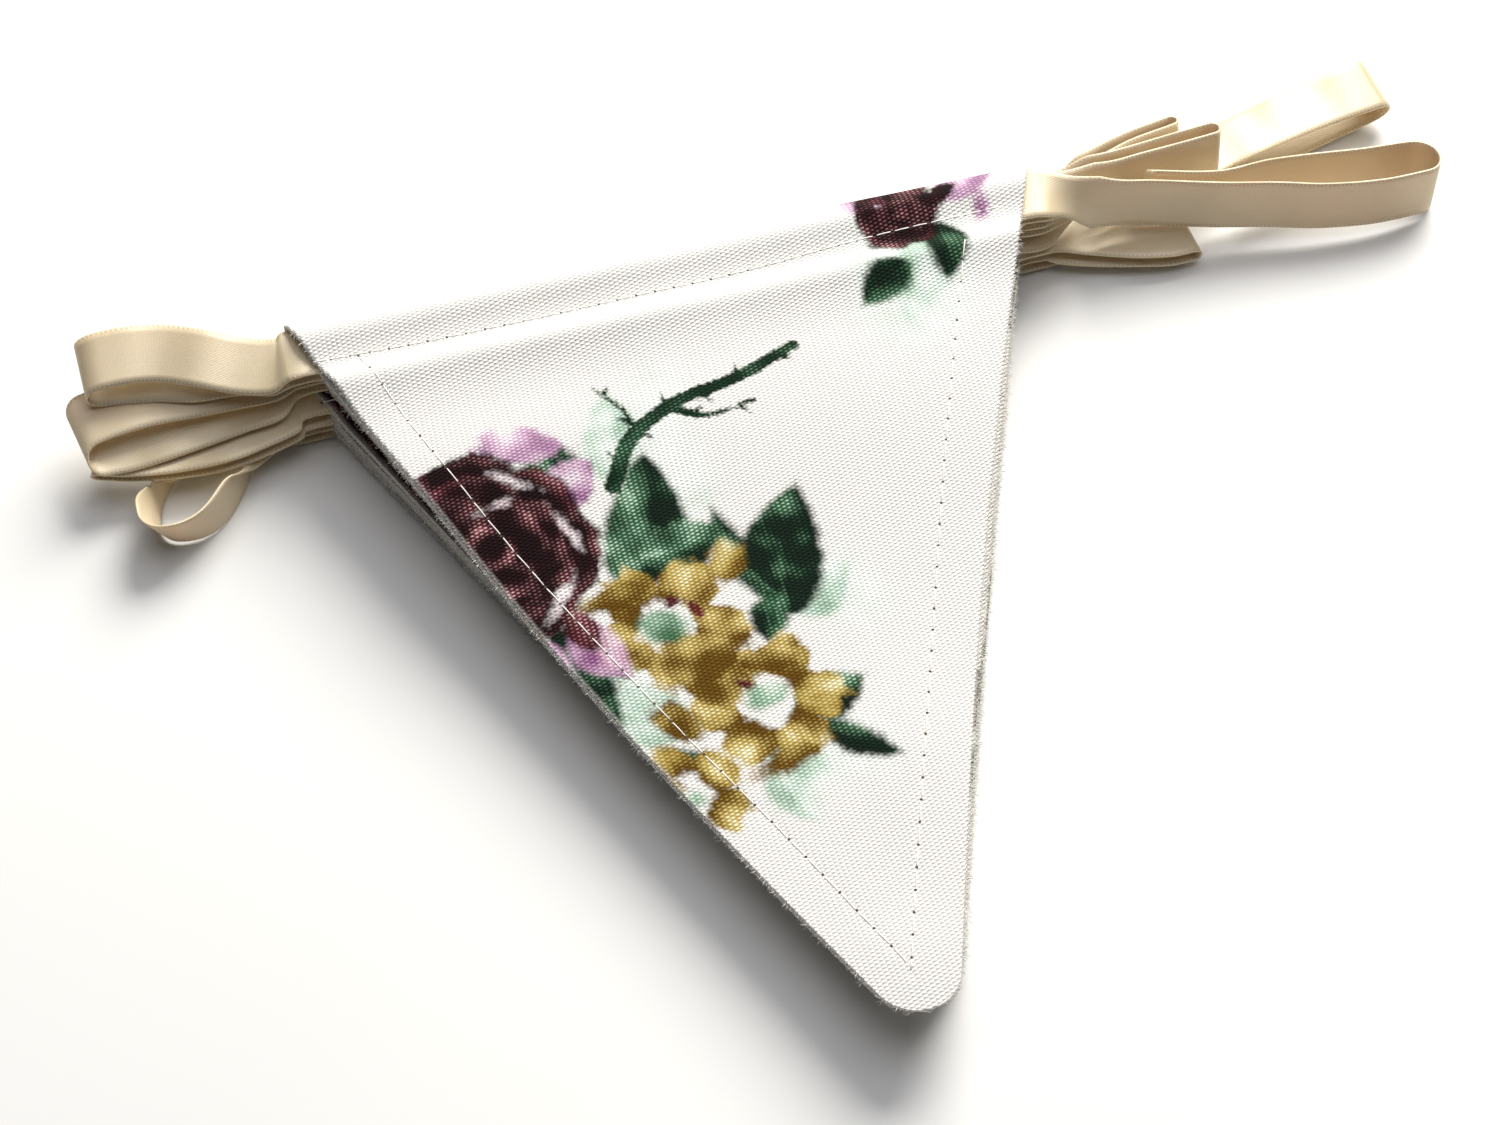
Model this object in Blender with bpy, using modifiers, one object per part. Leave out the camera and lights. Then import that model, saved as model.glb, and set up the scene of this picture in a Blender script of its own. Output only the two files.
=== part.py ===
"""Bunting of eight folded canvas flags on one satin ribbon, put away flag on flag with the ribbon looped at both sides."""

import math

import bmesh
import bpy
from mathutils import Vector

# Lengths are in metres. X runs along the flags' folds, -Y to their tips, Z up from the surface they lie on.

TIP_RADIUS = 0.0068
CLOTH = 0.0005
CASING_DEPTH = 0.0112  # from the fold to the seam that keeps the ribbon in
CASING_HEIGHT = 0.00210  # over both panels, with the ribbon between them
BODY_HEIGHT = 0.0013  # over both panels below the casing
CLOSING = 0.0032  # length over which the panels come together under the seam
BOW_LENGTH = 0.150  # length down the flag over which its centre line bows

CASING_PITCH = 0.00240  # one flag to the next at the casing
BODY_PITCH = 0.00160  # one flag to the next at the tips
LEVEL_UNTIL = -0.016  # the stack starts to thin towards the tips here
LEVEL_AFTER = -0.095  # and has its least height from here

RIBBON_WIDTH = 0.010
RIBBON_THICKNESS = 0.0005
RIBBON_INSET = 0.0060  # ribbon's centre line below the fold, inside a casing
TURN_STEPS = 7  # pieces round the end of a loop
SPAN_STEPS = 3  # pieces between two points of a loop

# Flags from the bottom of the stack to its top: name, width, distance from the fold to where the straight
# sides would meet, middle of the fold in X and in Y, turn in degrees, bow of the centre line, pieces across.
FLAGS = (
    ("flag_1", 0.1306, 0.1490, 0.0653, 0.0010, 1.0, -0.0004, 6),
    ("flag_2", 0.1308, 0.1500, 0.0652, 0.0006, 1.1, 0.0000, 6),
    ("flag_3", 0.1302, 0.1505, 0.0654, -0.0002, 1.2, -0.0010, 6),
    ("flag_4", 0.1304, 0.1515, 0.0654, 0.0000, 0.9, -0.0012, 6),
    ("flag_5", 0.1292, 0.1535, 0.0656, 0.0022, 0.2, -0.0016, 6),
    ("flag_6", 0.1295, 0.1550, 0.0655, 0.0018, 0.0, -0.0014, 6),
    ("flag_7", 0.1297, 0.1570, 0.0652, 0.0009, 0.2, -0.0018, 8),
    ("flag_8", 0.1300, 0.1583, 0.0650, 0.0, 0.0, -0.0020, 18),
)
NAME, WIDTH, SIDES_MEET, MIDDLE_X, MIDDLE_Y, TURN, BOW, PIECES = range(8)
STATION, CASING, ROUND = range(3)  # where a point of the ribbon is: on a loop's run, in a casing, round a loop's end

# Swells of the top flag, which nothing presses flat: across from its left end, down from the fold, reach
# across, reach down, height. The first ones are the casing's, in its upper panel only.
CASING_SWELLS = (
    (0.030, 0.0058, 0.030, 0.0060, 0.00050),
    (0.092, 0.0055, 0.034, 0.0060, 0.00065),
)
SWELLS = (
    (0.030, 0.0370, 0.026, 0.0100, 0.00090),
    (0.088, 0.0420, 0.022, 0.0160, 0.00055),
    (0.050, 0.0800, 0.018, 0.0160, 0.00070),
    (0.078, 0.1020, 0.014, 0.0170, 0.00060),
    (0.066, 0.1400, 0.012, 0.0110, 0.00080),
)

# Loops of the ribbon, each a row per station outwards from the casing: X, Y, Z, tilt of the width in degrees
# from flat, distance between the two runs, slip of the lower run along the width.
LOOP_A = (
    (-0.0030, -0.0064, 0.0158, 14, 0.0024, 0.0008),
    (-0.0085, -0.0050, 0.0161, 16, 0.0028, 0.0008),
    (-0.0145, -0.0019, 0.0164, 18, 0.0033, -0.0016),
    (-0.0215, 0.0007, 0.0165, 18, 0.0034, -0.0021),
    (-0.0275, 0.0015, 0.0165, 18, 0.0033, -0.0020),
    (-0.0326, 0.0015, 0.0164, 16, 0.0028, -0.0014),
)
LOOP_B = (
    (-0.0030, -0.0050, 0.0114, 4, 0.0025, -0.0020),
    (-0.0090, -0.0046, 0.0110, 6, 0.0026, -0.0030),
    (-0.0170, -0.0042, 0.0108, 7, 0.0027, -0.0044),
    (-0.0250, -0.0040, 0.0108, 7, 0.0027, -0.0054),
    (-0.0310, -0.0044, 0.0108, 7, 0.0027, -0.0054),
    (-0.0358, -0.0052, 0.0108, 7, 0.0027, -0.0046),
)
LOOP_C = (
    (-0.0020, -0.0090, 0.0069, 0, 0.0022, 0.0),
    (-0.0070, -0.0104, 0.0066, 0, 0.0021, 0.0),
    (-0.0140, -0.0117, 0.0063, -2, 0.0020, 0.0),
    (-0.0220, -0.0113, 0.0060, -3, 0.0020, 0.0004),
    (-0.0285, -0.0101, 0.0060, -2, 0.0020, 0.0006),
    (-0.0335, -0.0086, 0.0059, -2, 0.0020, 0.0006),
)
LOOP_1 = (
    (0.1400, -0.0030, 0.0019, 0, 0.0020, 0.0),
    (0.1500, 0.0002, 0.0025, -2, 0.0032, 0.0),
    (0.1580, 0.0023, 0.0031, -4, 0.0040, 0.0),
    (0.1640, 0.0037, 0.0035, -6, 0.0044, 0.0),
    (0.1720, 0.0056, 0.0040, -4, 0.0050, 0.0),
    (0.1840, 0.0083, 0.0045, 3, 0.0056, 0.0),
    (0.1935, 0.0103, 0.0050, 11, 0.0056, 0.0),
    (0.1990, 0.0113, 0.0054, 15, 0.0050, 0.0),
)
LOOP_2 = (
    (0.1400, -0.0068, 0.0141, 84, 0.0020, 0.0),
    (0.1490, -0.0071, 0.0120, 84, 0.0026, 0.0),
    (0.1620, -0.0091, 0.0098, 83, 0.0032, 0.0),
    (0.1720, -0.0093, 0.0084, 83, 0.0062, 0.0),
    (0.1805, -0.0101, 0.0073, 83, 0.0082, 0.0),
    (0.1905, -0.0110, 0.0065, 83, 0.0087, 0.0),
    (0.1990, -0.0110, 0.0060, 84, 0.0080, 0.0),
)
LOOP_3 = (
    (0.1410, -0.0032, 0.0132, 76, 0.0025, 0.0),
    (0.1500, -0.0017, 0.0124, 78, 0.0027, 0.0),
    (0.1580, -0.0008, 0.0122, 80, 0.0029, 0.0),
    (0.1642, -0.0002, 0.0121, 80, 0.0029, 0.0),
)
LOOP_4 = (
    (0.1410, -0.0004, 0.0104, 70, 0.0024, 0.0),
    (0.1500, 0.0030, 0.0102, 72, 0.0026, 0.0),
    (0.1590, 0.0049, 0.0100, 74, 0.0026, 0.0),
)
LOOP_5 = (
    (0.1350, -0.0046, 0.0040, 0, 0.0022, -0.0008),
    (0.1410, -0.0067, 0.0034, -2, 0.0022, -0.0006),
    (0.1475, -0.0091, 0.0032, -3, 0.0022, 0.0),
    (0.1530, -0.0102, 0.0029, -3, 0.0022, 0.0),
    (0.1568, -0.0101, 0.0028, -2, 0.0022, 0.0),
)
# The loop that stands on edge, a row per point of its centre line: X, Y, Z, heading of its width in degrees
# from X, and rise of its width.
LOOP_D = (
    (-0.0050, -0.0082, 0.0034, 96, -2),
    (-0.0092, -0.0122, 0.0033, 80, -8),
    (-0.0117, -0.0170, 0.0045, 62, -50),
    (-0.0138, -0.0200, 0.0050, 50, -63),
    (-0.0167, -0.0238, 0.0051, 46, -65),
    (-0.0189, -0.0257, 0.0051, 46, -65),
    (-0.0216, -0.0268, 0.0051, 46, -65),
    (-0.0245, -0.0269, 0.0051, 46, -65),
    (-0.0268, -0.0261, 0.0051, 46, -65),
    (-0.0281, -0.0243, 0.0051, 46, -65),
    (-0.0282, -0.0219, 0.0050, 46, -63),
    (-0.0277, -0.0192, 0.0047, 46, -57),
    (-0.0264, -0.0163, 0.0039, 43, -43),
    (-0.0240, -0.0134, 0.0028, 41, -28),
    (-0.0198, -0.0107, 0.0017, 46, -13),
    (-0.0130, -0.0073, 0.0010, 70, -1),
    (-0.0060, -0.0058, 0.0009, 87, 0),
)
UPPER_TAIL_FROM = 1  # first station of loop 2 that its free run reaches
LOWER_TAIL_FROM = 3  # first station of loop 1 that its free run reaches
STANDING_LEVEL = 1  # level of the flag that the standing loop comes from

CANVAS = ("canvas", (0.86, 0.83, 0.77, 1.0), 0.9)
SATIN = ("satin", (0.72, 0.61, 0.42, 1.0), 0.35)


def clear_scene():
    """Take out whatever the scene holds."""
    for old in list(bpy.data.objects):
        bpy.data.objects.remove(old, do_unlink=True)


def make_material(name, colour, roughness):
    """Make one Principled material."""
    made = bpy.data.materials.new(name)
    made.use_nodes = True
    shader = made.node_tree.nodes["Principled BSDF"]
    shader.inputs["Base Color"].default_value = colour
    shader.inputs["Roughness"].default_value = roughness
    made.diffuse_color = colour
    return made


def smooth(value):
    """Ease from 0 to 1."""
    value = min(max(value, 0.0), 1.0)
    return value * value * (3.0 - 2.0 * value)


def tip_centre(flag):
    """Distance from a flag's fold to the centre of its rounded tip, and the sine of half the angle at the tip."""
    half_angle = math.atan(flag[WIDTH] / 2 / flag[SIDES_MEET])
    sine = math.sin(half_angle)
    return flag[SIDES_MEET] - TIP_RADIUS / sine, sine


def half_width(flag, down):
    """Half a flag's width at a distance down from its fold."""
    centre, sine = tip_centre(flag)
    if down < centre + TIP_RADIUS * sine:
        return flag[WIDTH] / 2 * (1.0 - down / flag[SIDES_MEET])
    return math.sqrt(max(TIP_RADIUS**2 - (down - centre) ** 2, 0.0))


def panel_stations(flag, fine):
    """Distances down a panel at which its mesh has a row."""
    end = tip_centre(flag)[0] + TIP_RADIUS
    casing = [0.0025, 0.0050, 0.0075] if fine else [0.0030, 0.0085]
    closing = [CASING_DEPTH, CASING_DEPTH + CLOSING / 2, CASING_DEPTH + CLOSING]
    steps = 14 if fine else 5
    start = closing[-1]
    body = [start + (end - 0.0113 - start) * step / steps for step in range(1, steps + 1)]
    tip = [end - 0.0045, end - 0.0020, end - 0.0007, end - 0.0001]
    return casing + closing + body + tip


def stack_height(level, y):
    """Height of a flag's underside above the surface, where `level` flags lie under it."""
    part = smooth((LEVEL_UNTIL - y) / (LEVEL_UNTIL - LEVEL_AFTER))
    return level * (CASING_PITCH + (BODY_PITCH - CASING_PITCH) * part)


def flag_height(down):
    """Height over both panels of a flag at a distance down from its fold."""
    part = smooth((down - CASING_DEPTH) / CLOSING)
    return CASING_HEIGHT + (BODY_HEIGHT - CASING_HEIGHT) * part


def place(flag, aside, down):
    """Carry a point of a flag, measured from the middle of its fold and down from it, to its place in X and Y."""
    bowed = aside + flag[BOW] * math.sin(math.pi * min(down / BOW_LENGTH, 1.0))
    angle = math.radians(flag[TURN])
    x = flag[MIDDLE_X] + bowed * math.cos(angle) + down * math.sin(angle)
    y = flag[MIDDLE_Y] + bowed * math.sin(angle) - down * math.cos(angle)
    return x, y


def swell(swells, flag, aside, down):
    """Extra height of the top flag."""
    total = 0.0
    for at, at_down, reach, reach_down, height in swells:
        from_left = aside + flag[WIDTH] / 2
        near = ((from_left - at) / reach) ** 2 + ((down - at_down) / reach_down) ** 2
        total += height * math.exp(-near)
    return total


def flag_rows(flag, fine):
    """Rows of a folded flag from the lower panel's tip round the fold to the upper panel's tip.

    Each row is its distance down from the fold's outside and its height as a share of the flag's, from 0 at
    the middle of the lower panel to 1 at the middle of the upper one.
    """
    stations = panel_stations(flag, fine)
    radius = (CASING_HEIGHT - CLOTH) / 2
    centre = radius + CLOTH / 2
    rows = [(down, 0.0) for down in reversed(stations)]
    steps = 6 if fine else 4
    for step in range(steps + 1):
        angle = math.pi * step / steps
        rows.append((centre - radius * math.sin(angle), 0.5 - 0.5 * math.cos(angle)))
    rows += [(down, 1.0) for down in stations]
    return rows


def build_flag(level, material):
    """Build one flag: a kite of canvas folded in half over the ribbon."""
    flag = FLAGS[level]
    columns = flag[PIECES]
    top = level == len(FLAGS) - 1
    cloth = bmesh.new()
    grid = []
    for down, share in flag_rows(flag, top):
        half = half_width(flag, down)
        row = []
        for column in range(columns + 1):
            aside = half * (2.0 * column / columns - 1.0)
            x, y = place(flag, aside, down)
            z = stack_height(level, y) + CLOTH / 2 + share * (flag_height(down) - CLOTH)
            if top:
                z += swell(SWELLS, flag, aside, down) + share * swell(CASING_SWELLS, flag, aside, down)
            row.append(cloth.verts.new((x, y, z)))
        grid.append(row)
    for row, following in zip(grid, grid[1:]):
        for column in range(columns):
            corners = (row[column], row[column + 1], following[column + 1], following[column])
            cloth.faces.new(corners)
    bmesh.ops.recalc_face_normals(cloth, faces=cloth.faces)
    mesh = bpy.data.meshes.new(flag[NAME])
    cloth.to_mesh(mesh)
    cloth.free()
    return thicken(flag[NAME], mesh, CLOTH, material)


def thicken(name, mesh, thickness, material):
    """Make an object of an open sheet, with a wall on both sides of it."""
    made = bpy.data.objects.new(name, mesh)
    made.data.materials.append(material)
    wall = made.modifiers.new("wall", "SOLIDIFY")
    wall.thickness = thickness
    wall.offset = 0.0
    wall.use_even_offset = True
    return made


def in_casing(level, to_left):
    """Points of the ribbon inside a flag's casing, each a centre and the direction of its width."""
    flag = FLAGS[level]
    height = stack_height(level, 0.0) + CASING_HEIGHT / 2
    angle = math.radians(flag[TURN])
    width = Vector((-math.sin(angle), math.cos(angle), 0.0))
    half = flag[WIDTH] / 2
    points = []
    for aside in (-half - 0.0005, -half + 0.006, 0.0, half - 0.006, half + 0.0005):
        x, y = place(flag, aside, RIBBON_INSET)
        points.append((Vector((x, y, height)), width))
    if to_left:
        points.reverse()
    return points


def loop_runs(stations, to_left):
    """Upper run, end turn and lower run of a loop, outwards, round and back."""
    upper, lower = [], []
    for index, (x, y, z, tilt, gap, slip) in enumerate(stations):
        before = stations[max(index - 1, 0)]
        after = stations[min(index + 1, len(stations) - 1)]
        along = (Vector(after[:3]) - Vector(before[:3])).normalized()
        side = along.cross(Vector((0, 0, 1))) if to_left else Vector((0, 0, 1)).cross(along)
        side.normalize()
        above = side.cross(along) if to_left else along.cross(side)
        angle = math.radians(tilt)
        width = side * math.cos(angle) + above * math.sin(angle)
        face = above * math.cos(angle) - side * math.sin(angle)
        centre = Vector((x, y, z))
        upper.append((centre + face * gap / 2, width))
        lower.append((centre - face * gap / 2 + width * slip, width))
    middle = (upper[-1][0] + lower[-1][0]) / 2
    turn = []
    for step in range(1, TURN_STEPS):
        angle = math.pi * step / TURN_STEPS
        outward = face * math.cos(angle) + along * math.sin(angle)
        turn.append((middle + outward * gap / 2 - width * math.cos(angle) * slip / 2, width))
    return upper, turn, list(reversed(lower))


def standing_points(rows):
    """Control points of the loop that stands on edge."""
    points = []
    for x, y, z, heading, rise in rows:
        flat = math.cos(math.radians(rise))
        across = math.cos(math.radians(heading)) * flat
        deep = math.sin(math.radians(heading)) * flat
        points.append((Vector((x, y, z)), Vector((across, deep, math.sin(math.radians(rise)))), STATION))
    return points


def loop_points(stations, to_left, tail_from=0):
    """Control points of a loop from its upper run to its lower one, each with the kind of place it is at."""
    upper, turn, lower = loop_runs(stations, to_left)
    if tail_from:
        lower = lower[:-tail_from]
    points = [(centre, width, STATION) for centre, width in upper]
    points += [(centre, width, ROUND) for centre, width in turn]
    points += [(centre, width, STATION) for centre, width in lower]
    return points


def ribbon_points():
    """Control points of the whole ribbon, each a centre, the direction of its width and the kind of place."""
    joins = {7: (LOOP_A, True), 6: (LOOP_3, False), 5: (LOOP_B, True), 4: (LOOP_4, False)}
    joins.update({3: (LOOP_C, True), 2: (LOOP_5, False)})
    top = len(FLAGS) - 1
    path = list(reversed(loop_points(LOOP_2, False, UPPER_TAIL_FROM)))
    for level in range(top, -1, -1):
        to_left = (top - level) % 2 == 0
        path += [(centre, width, CASING) for centre, width in in_casing(level, to_left)]
        if level in joins:
            path += loop_points(*joins[level])
        elif level == STANDING_LEVEL:
            path += standing_points(LOOP_D)
    path += list(reversed(loop_points(LOOP_1, False)[LOWER_TAIL_FROM:]))
    return path


def between(before, start, end, after, part):
    """Point of a smooth curve between start and end, which leaves and arrives along its neighbours."""
    chord = (end - start).length
    leaving = (end - before).normalized() * chord
    arriving = (after - start).normalized() * chord
    square, cube = part * part, part * part * part
    place_share = start * (2.0 * cube - 3.0 * square + 1.0) + end * (3.0 * square - 2.0 * cube)
    return place_share + leaving * (cube - 2.0 * square + part) + arriving * (cube - square)


def ribbon_sections(path):
    """Even out the control points to the ribbon's sections, each a centre and the direction of its width."""
    last = len(path) - 1
    sections = []
    for index in range(last):
        corners = [path[min(max(index + step, 0), last)] for step in (-1, 0, 1, 2)]
        kinds = {corners[1][2], corners[2][2]}
        steps = 1 if ROUND in kinds or kinds == {CASING} else SPAN_STEPS
        for step in range(steps):
            part = step / steps
            centre = between(*(corner[0] for corner in corners), part)
            width = corners[1][1].lerp(corners[2][1], part)
            sections.append((centre, width))
    sections.append(path[-1][:2])
    return sections


def build_ribbon(material):
    """Build the ribbon, one strip from its first tail through the eight casings to its second."""
    sections = ribbon_sections(ribbon_points())
    strip = bmesh.new()
    pairs = []
    for centre, width in sections:
        aside = width * (RIBBON_WIDTH / 2)
        pairs.append((strip.verts.new(centre - aside), strip.verts.new(centre + aside)))
    for (near, far), (next_near, next_far) in zip(pairs, pairs[1:]):
        strip.faces.new((near, next_near, next_far, far))
    bmesh.ops.recalc_face_normals(strip, faces=strip.faces)
    mesh = bpy.data.meshes.new("ribbon")
    strip.to_mesh(mesh)
    strip.free()
    return thicken("ribbon", mesh, RIBBON_THICKNESS, material)


def centre_on_ground(made):
    """Move all pieces so that the middle of their box is over the origin and its bottom on Z = 0."""
    bpy.context.view_layer.update()
    graph = bpy.context.evaluated_depsgraph_get()
    corners = []
    for piece in made:
        solid = piece.evaluated_get(graph)
        corners += [piece.matrix_world @ Vector(corner) for corner in solid.bound_box]
    low = Vector([min(corner[axis] for corner in corners) for axis in range(3)])
    high = Vector([max(corner[axis] for corner in corners) for axis in range(3)])
    shift = Vector((-(low.x + high.x) / 2, -(low.y + high.y) / 2, -low.z))
    for piece in made:
        for vertex in piece.data.vertices:
            vertex.co += shift
        piece.data.update()


def main():
    """Build the bunting."""
    clear_scene()
    bunting = bpy.data.collections.new("fabric bunting")
    bpy.context.scene.collection.children.link(bunting)
    canvas = make_material(*CANVAS)
    satin = make_material(*SATIN)
    made = [build_flag(level, canvas) for level in range(len(FLAGS))]
    made.append(build_ribbon(satin))
    for piece in made:
        bunting.objects.link(piece)
    centre_on_ground(made)


main()
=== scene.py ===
"""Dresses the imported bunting: printed canvas flags, satin ribbon, sewing, yarn ends, floor, light and camera."""

import logging
import math
import random
from dataclasses import dataclass
from enum import Enum

import bmesh
import bpy
import numpy as np
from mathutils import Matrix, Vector, noise


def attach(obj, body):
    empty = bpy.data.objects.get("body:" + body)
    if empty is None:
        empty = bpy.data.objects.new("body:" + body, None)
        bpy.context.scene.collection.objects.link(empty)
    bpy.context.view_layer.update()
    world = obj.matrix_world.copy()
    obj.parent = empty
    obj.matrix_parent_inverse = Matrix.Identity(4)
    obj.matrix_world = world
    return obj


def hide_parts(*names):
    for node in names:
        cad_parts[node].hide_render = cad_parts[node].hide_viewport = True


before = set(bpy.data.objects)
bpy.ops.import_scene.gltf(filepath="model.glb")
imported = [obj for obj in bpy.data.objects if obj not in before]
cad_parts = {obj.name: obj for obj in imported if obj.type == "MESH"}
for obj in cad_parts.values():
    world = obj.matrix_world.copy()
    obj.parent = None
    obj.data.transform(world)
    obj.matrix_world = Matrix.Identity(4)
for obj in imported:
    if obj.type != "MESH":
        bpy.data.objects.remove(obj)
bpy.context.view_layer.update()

LOG = logging.getLogger("bunting")
MM = 0.001

# The top flag's fold starts here at its left end. X runs along the fold, -Y to the tip.
FOLD_START = Vector((-0.082791, 0.065102, 0.0))

TIP_RADIUS = 0.0068
CLOTH = 0.0005
CASING_DEPTH = 0.0112
CASING_HEIGHT = 0.00210
BODY_HEIGHT = 0.0013
CLOSING = 0.0032
BOW_LENGTH = 0.150
CASING_PITCH = 0.00240
BODY_PITCH = 0.00160
LEVEL_UNTIL = -0.016
LEVEL_AFTER = -0.095

RIBBON_WIDTH = 0.010
RIBBON_THICKNESS = 0.00034
RIBBON_INSET = 0.0060
TURN_STEPS = 7
LEFT_TURN_STRETCH = 1.8

SEED = 41


@dataclass(frozen=True)
class FlagCut:
    """How one flag is cut and how it lies.

    Attributes:
        name: Node of the flag in the frame.
        width: Length of its fold.
        sides_meet: Distance from the fold to where the straight sides would meet.
        middle: Middle of the fold in X and Y.
        turn: Turn in degrees.
        bow: Bow of its centre line.
        level: Flags that lie under it.
    """

    name: str
    width: float
    sides_meet: float
    middle: tuple[float, float]
    turn: float
    bow: float
    level: int

    @property
    def top(self) -> bool:
        """Whether nothing lies on it."""
        return self.name == "flag_8"

    @property
    def tip_centre(self) -> tuple[float, float]:
        """Distance from the fold to the centre of the rounded tip, and the sine of half the tip's angle."""
        sine = math.sin(math.atan(self.width / 2 / self.sides_meet))
        return self.sides_meet - TIP_RADIUS / sine, sine

    @property
    def length(self) -> float:
        """Distance from the fold to the end of the tip."""
        return self.tip_centre[0] + TIP_RADIUS

    def half_width(self, down: float) -> float:
        """Half the flag's width at a distance down from its fold."""
        centre, sine = self.tip_centre
        if down < centre + TIP_RADIUS * sine:
            return self.width / 2 * (1.0 - down / self.sides_meet)
        return math.sqrt(max(TIP_RADIUS**2 - (down - centre) ** 2, 0.0))

    def bowed(self, down: float) -> float:
        """How far the centre line is out of straight."""
        return self.bow * math.sin(math.pi * min(down / BOW_LENGTH, 1.0))

    def place(self, aside: float, down: float) -> tuple[float, float]:
        """Carry a point from the middle of the fold to its place in X and Y, seen from the fold's start."""
        angle = math.radians(self.turn)
        across = aside + self.bowed(down)
        x = self.middle[0] + across * math.cos(angle) + down * math.sin(angle)
        y = self.middle[1] + across * math.sin(angle) - down * math.cos(angle)
        return x, y


FLAGS = (
    FlagCut("flag_1", 0.1306, 0.1490, (0.0653, 0.0010), 1.0, -0.0004, 0),
    FlagCut("flag_2", 0.1308, 0.1500, (0.0652, 0.0006), 1.1, 0.0000, 1),
    FlagCut("flag_3", 0.1302, 0.1505, (0.0654, -0.0002), 1.2, -0.0010, 2),
    FlagCut("flag_4", 0.1304, 0.1515, (0.0654, 0.0000), 0.9, -0.0012, 3),
    FlagCut("flag_5", 0.1292, 0.1535, (0.0656, 0.0022), 0.2, -0.0016, 4),
    FlagCut("flag_6", 0.1295, 0.1550, (0.0655, 0.0018), 0.0, -0.0014, 5),
    FlagCut("flag_7", 0.1297, 0.1570, (0.0652, 0.0009), 0.2, -0.0018, 6),
    FlagCut("flag_8", 0.1300, 0.1583, (0.0650, 0.0), 0.0, -0.0020, 7),
)

# Swells of the top flag: across from its left end, down from the fold, reach across, reach down, height.
CASING_SWELLS = (
    (0.030, 0.0058, 0.030, 0.0060, 0.00050),
    (0.092, 0.0055, 0.034, 0.0060, 0.00065),
)
SWELLS = (
    (0.030, 0.0370, 0.026, 0.0100, 0.00090),
    (0.088, 0.0420, 0.022, 0.0160, 0.00055),
    (0.050, 0.0800, 0.018, 0.0160, 0.00070),
    (0.078, 0.1020, 0.014, 0.0170, 0.00060),
    (0.066, 0.1400, 0.012, 0.0110, 0.00080),
)

# Loops of the ribbon, a row per station outwards from the casing: X, Y, Z, tilt of the width in degrees from
# flat, distance between the two runs, slip of the lower run along the width.
LOOP_A = (
    (-0.0030, -0.0064, 0.0158, 14, 0.0024, 0.0008),
    (-0.0085, -0.0050, 0.0161, 16, 0.0028, 0.0008),
    (-0.0145, -0.0019, 0.0164, 18, 0.0034, -0.0016),
    (-0.0205, 0.0006, 0.0166, 18, 0.0038, -0.0021),
    (-0.0258, 0.0015, 0.0167, 18, 0.0042, -0.0020),
    (-0.0300, 0.0015, 0.0167, 16, 0.0042, -0.0014),
)
LOOP_B = (
    (-0.0030, -0.0050, 0.0114, 4, 0.0025, -0.0020),
    (-0.0090, -0.0046, 0.0110, 6, 0.0026, -0.0030),
    (-0.0170, -0.0042, 0.0108, 7, 0.0027, -0.0044),
    (-0.0240, -0.0040, 0.0108, 7, 0.0029, -0.0054),
    (-0.0298, -0.0044, 0.0107, 7, 0.0032, -0.0054),
    (-0.0342, -0.0052, 0.0107, 7, 0.0032, -0.0046),
)
LOOP_C = (
    (-0.0020, -0.0090, 0.0069, 0, 0.0022, 0.0),
    (-0.0070, -0.0104, 0.0066, 0, 0.0021, 0.0),
    (-0.0140, -0.0117, 0.0063, -2, 0.0020, 0.0),
    (-0.0220, -0.0113, 0.0060, -3, 0.0020, 0.0004),
    (-0.0285, -0.0101, 0.0060, -2, 0.0020, 0.0006),
    (-0.0327, -0.0086, 0.0059, -2, 0.0020, 0.0006),
)
LOOP_1 = (
    (0.1400, -0.0030, 0.0019, 0, 0.0020, 0.0),
    (0.1500, 0.0002, 0.0025, -2, 0.0032, 0.0),
    (0.1580, 0.0023, 0.0031, -4, 0.0040, 0.0),
    (0.1640, 0.0037, 0.0035, -6, 0.0044, 0.0),
    (0.1720, 0.0056, 0.0040, -4, 0.0050, 0.0),
    (0.1840, 0.0083, 0.0045, 3, 0.0056, 0.0),
    (0.1935, 0.0103, 0.0050, 11, 0.0056, 0.0),
    (0.1990, 0.0113, 0.0054, 15, 0.0050, 0.0),
)
LOOP_2 = (
    (0.1400, -0.0068, 0.0141, 84, 0.0020, 0.0),
    (0.1490, -0.0071, 0.0120, 84, 0.0026, 0.0),
    (0.1620, -0.0091, 0.0098, 83, 0.0032, 0.0),
    (0.1720, -0.0093, 0.0084, 83, 0.0062, 0.0),
    (0.1805, -0.0101, 0.0073, 83, 0.0082, 0.0),
    (0.1905, -0.0110, 0.0065, 83, 0.0087, 0.0),
    (0.1990, -0.0110, 0.0060, 84, 0.0080, 0.0),
)
LOOP_3 = (
    (0.1410, -0.0032, 0.0132, 76, 0.0025, 0.0),
    (0.1500, -0.0017, 0.0124, 78, 0.0027, 0.0),
    (0.1580, -0.0008, 0.0122, 80, 0.0029, 0.0),
    (0.1642, -0.0002, 0.0121, 80, 0.0029, 0.0),
)
LOOP_4 = (
    (0.1410, -0.0004, 0.0104, 70, 0.0024, 0.0),
    (0.1500, 0.0030, 0.0102, 72, 0.0026, 0.0),
    (0.1590, 0.0049, 0.0100, 74, 0.0026, 0.0),
)
LOOP_5 = (
    (0.1350, -0.0046, 0.0040, 0, 0.0022, -0.0008),
    (0.1410, -0.0067, 0.0034, -2, 0.0022, -0.0006),
    (0.1475, -0.0091, 0.0032, -3, 0.0022, 0.0),
    (0.1530, -0.0102, 0.0029, -3, 0.0022, 0.0),
    (0.1568, -0.0101, 0.0028, -2, 0.0022, 0.0),
)
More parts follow.
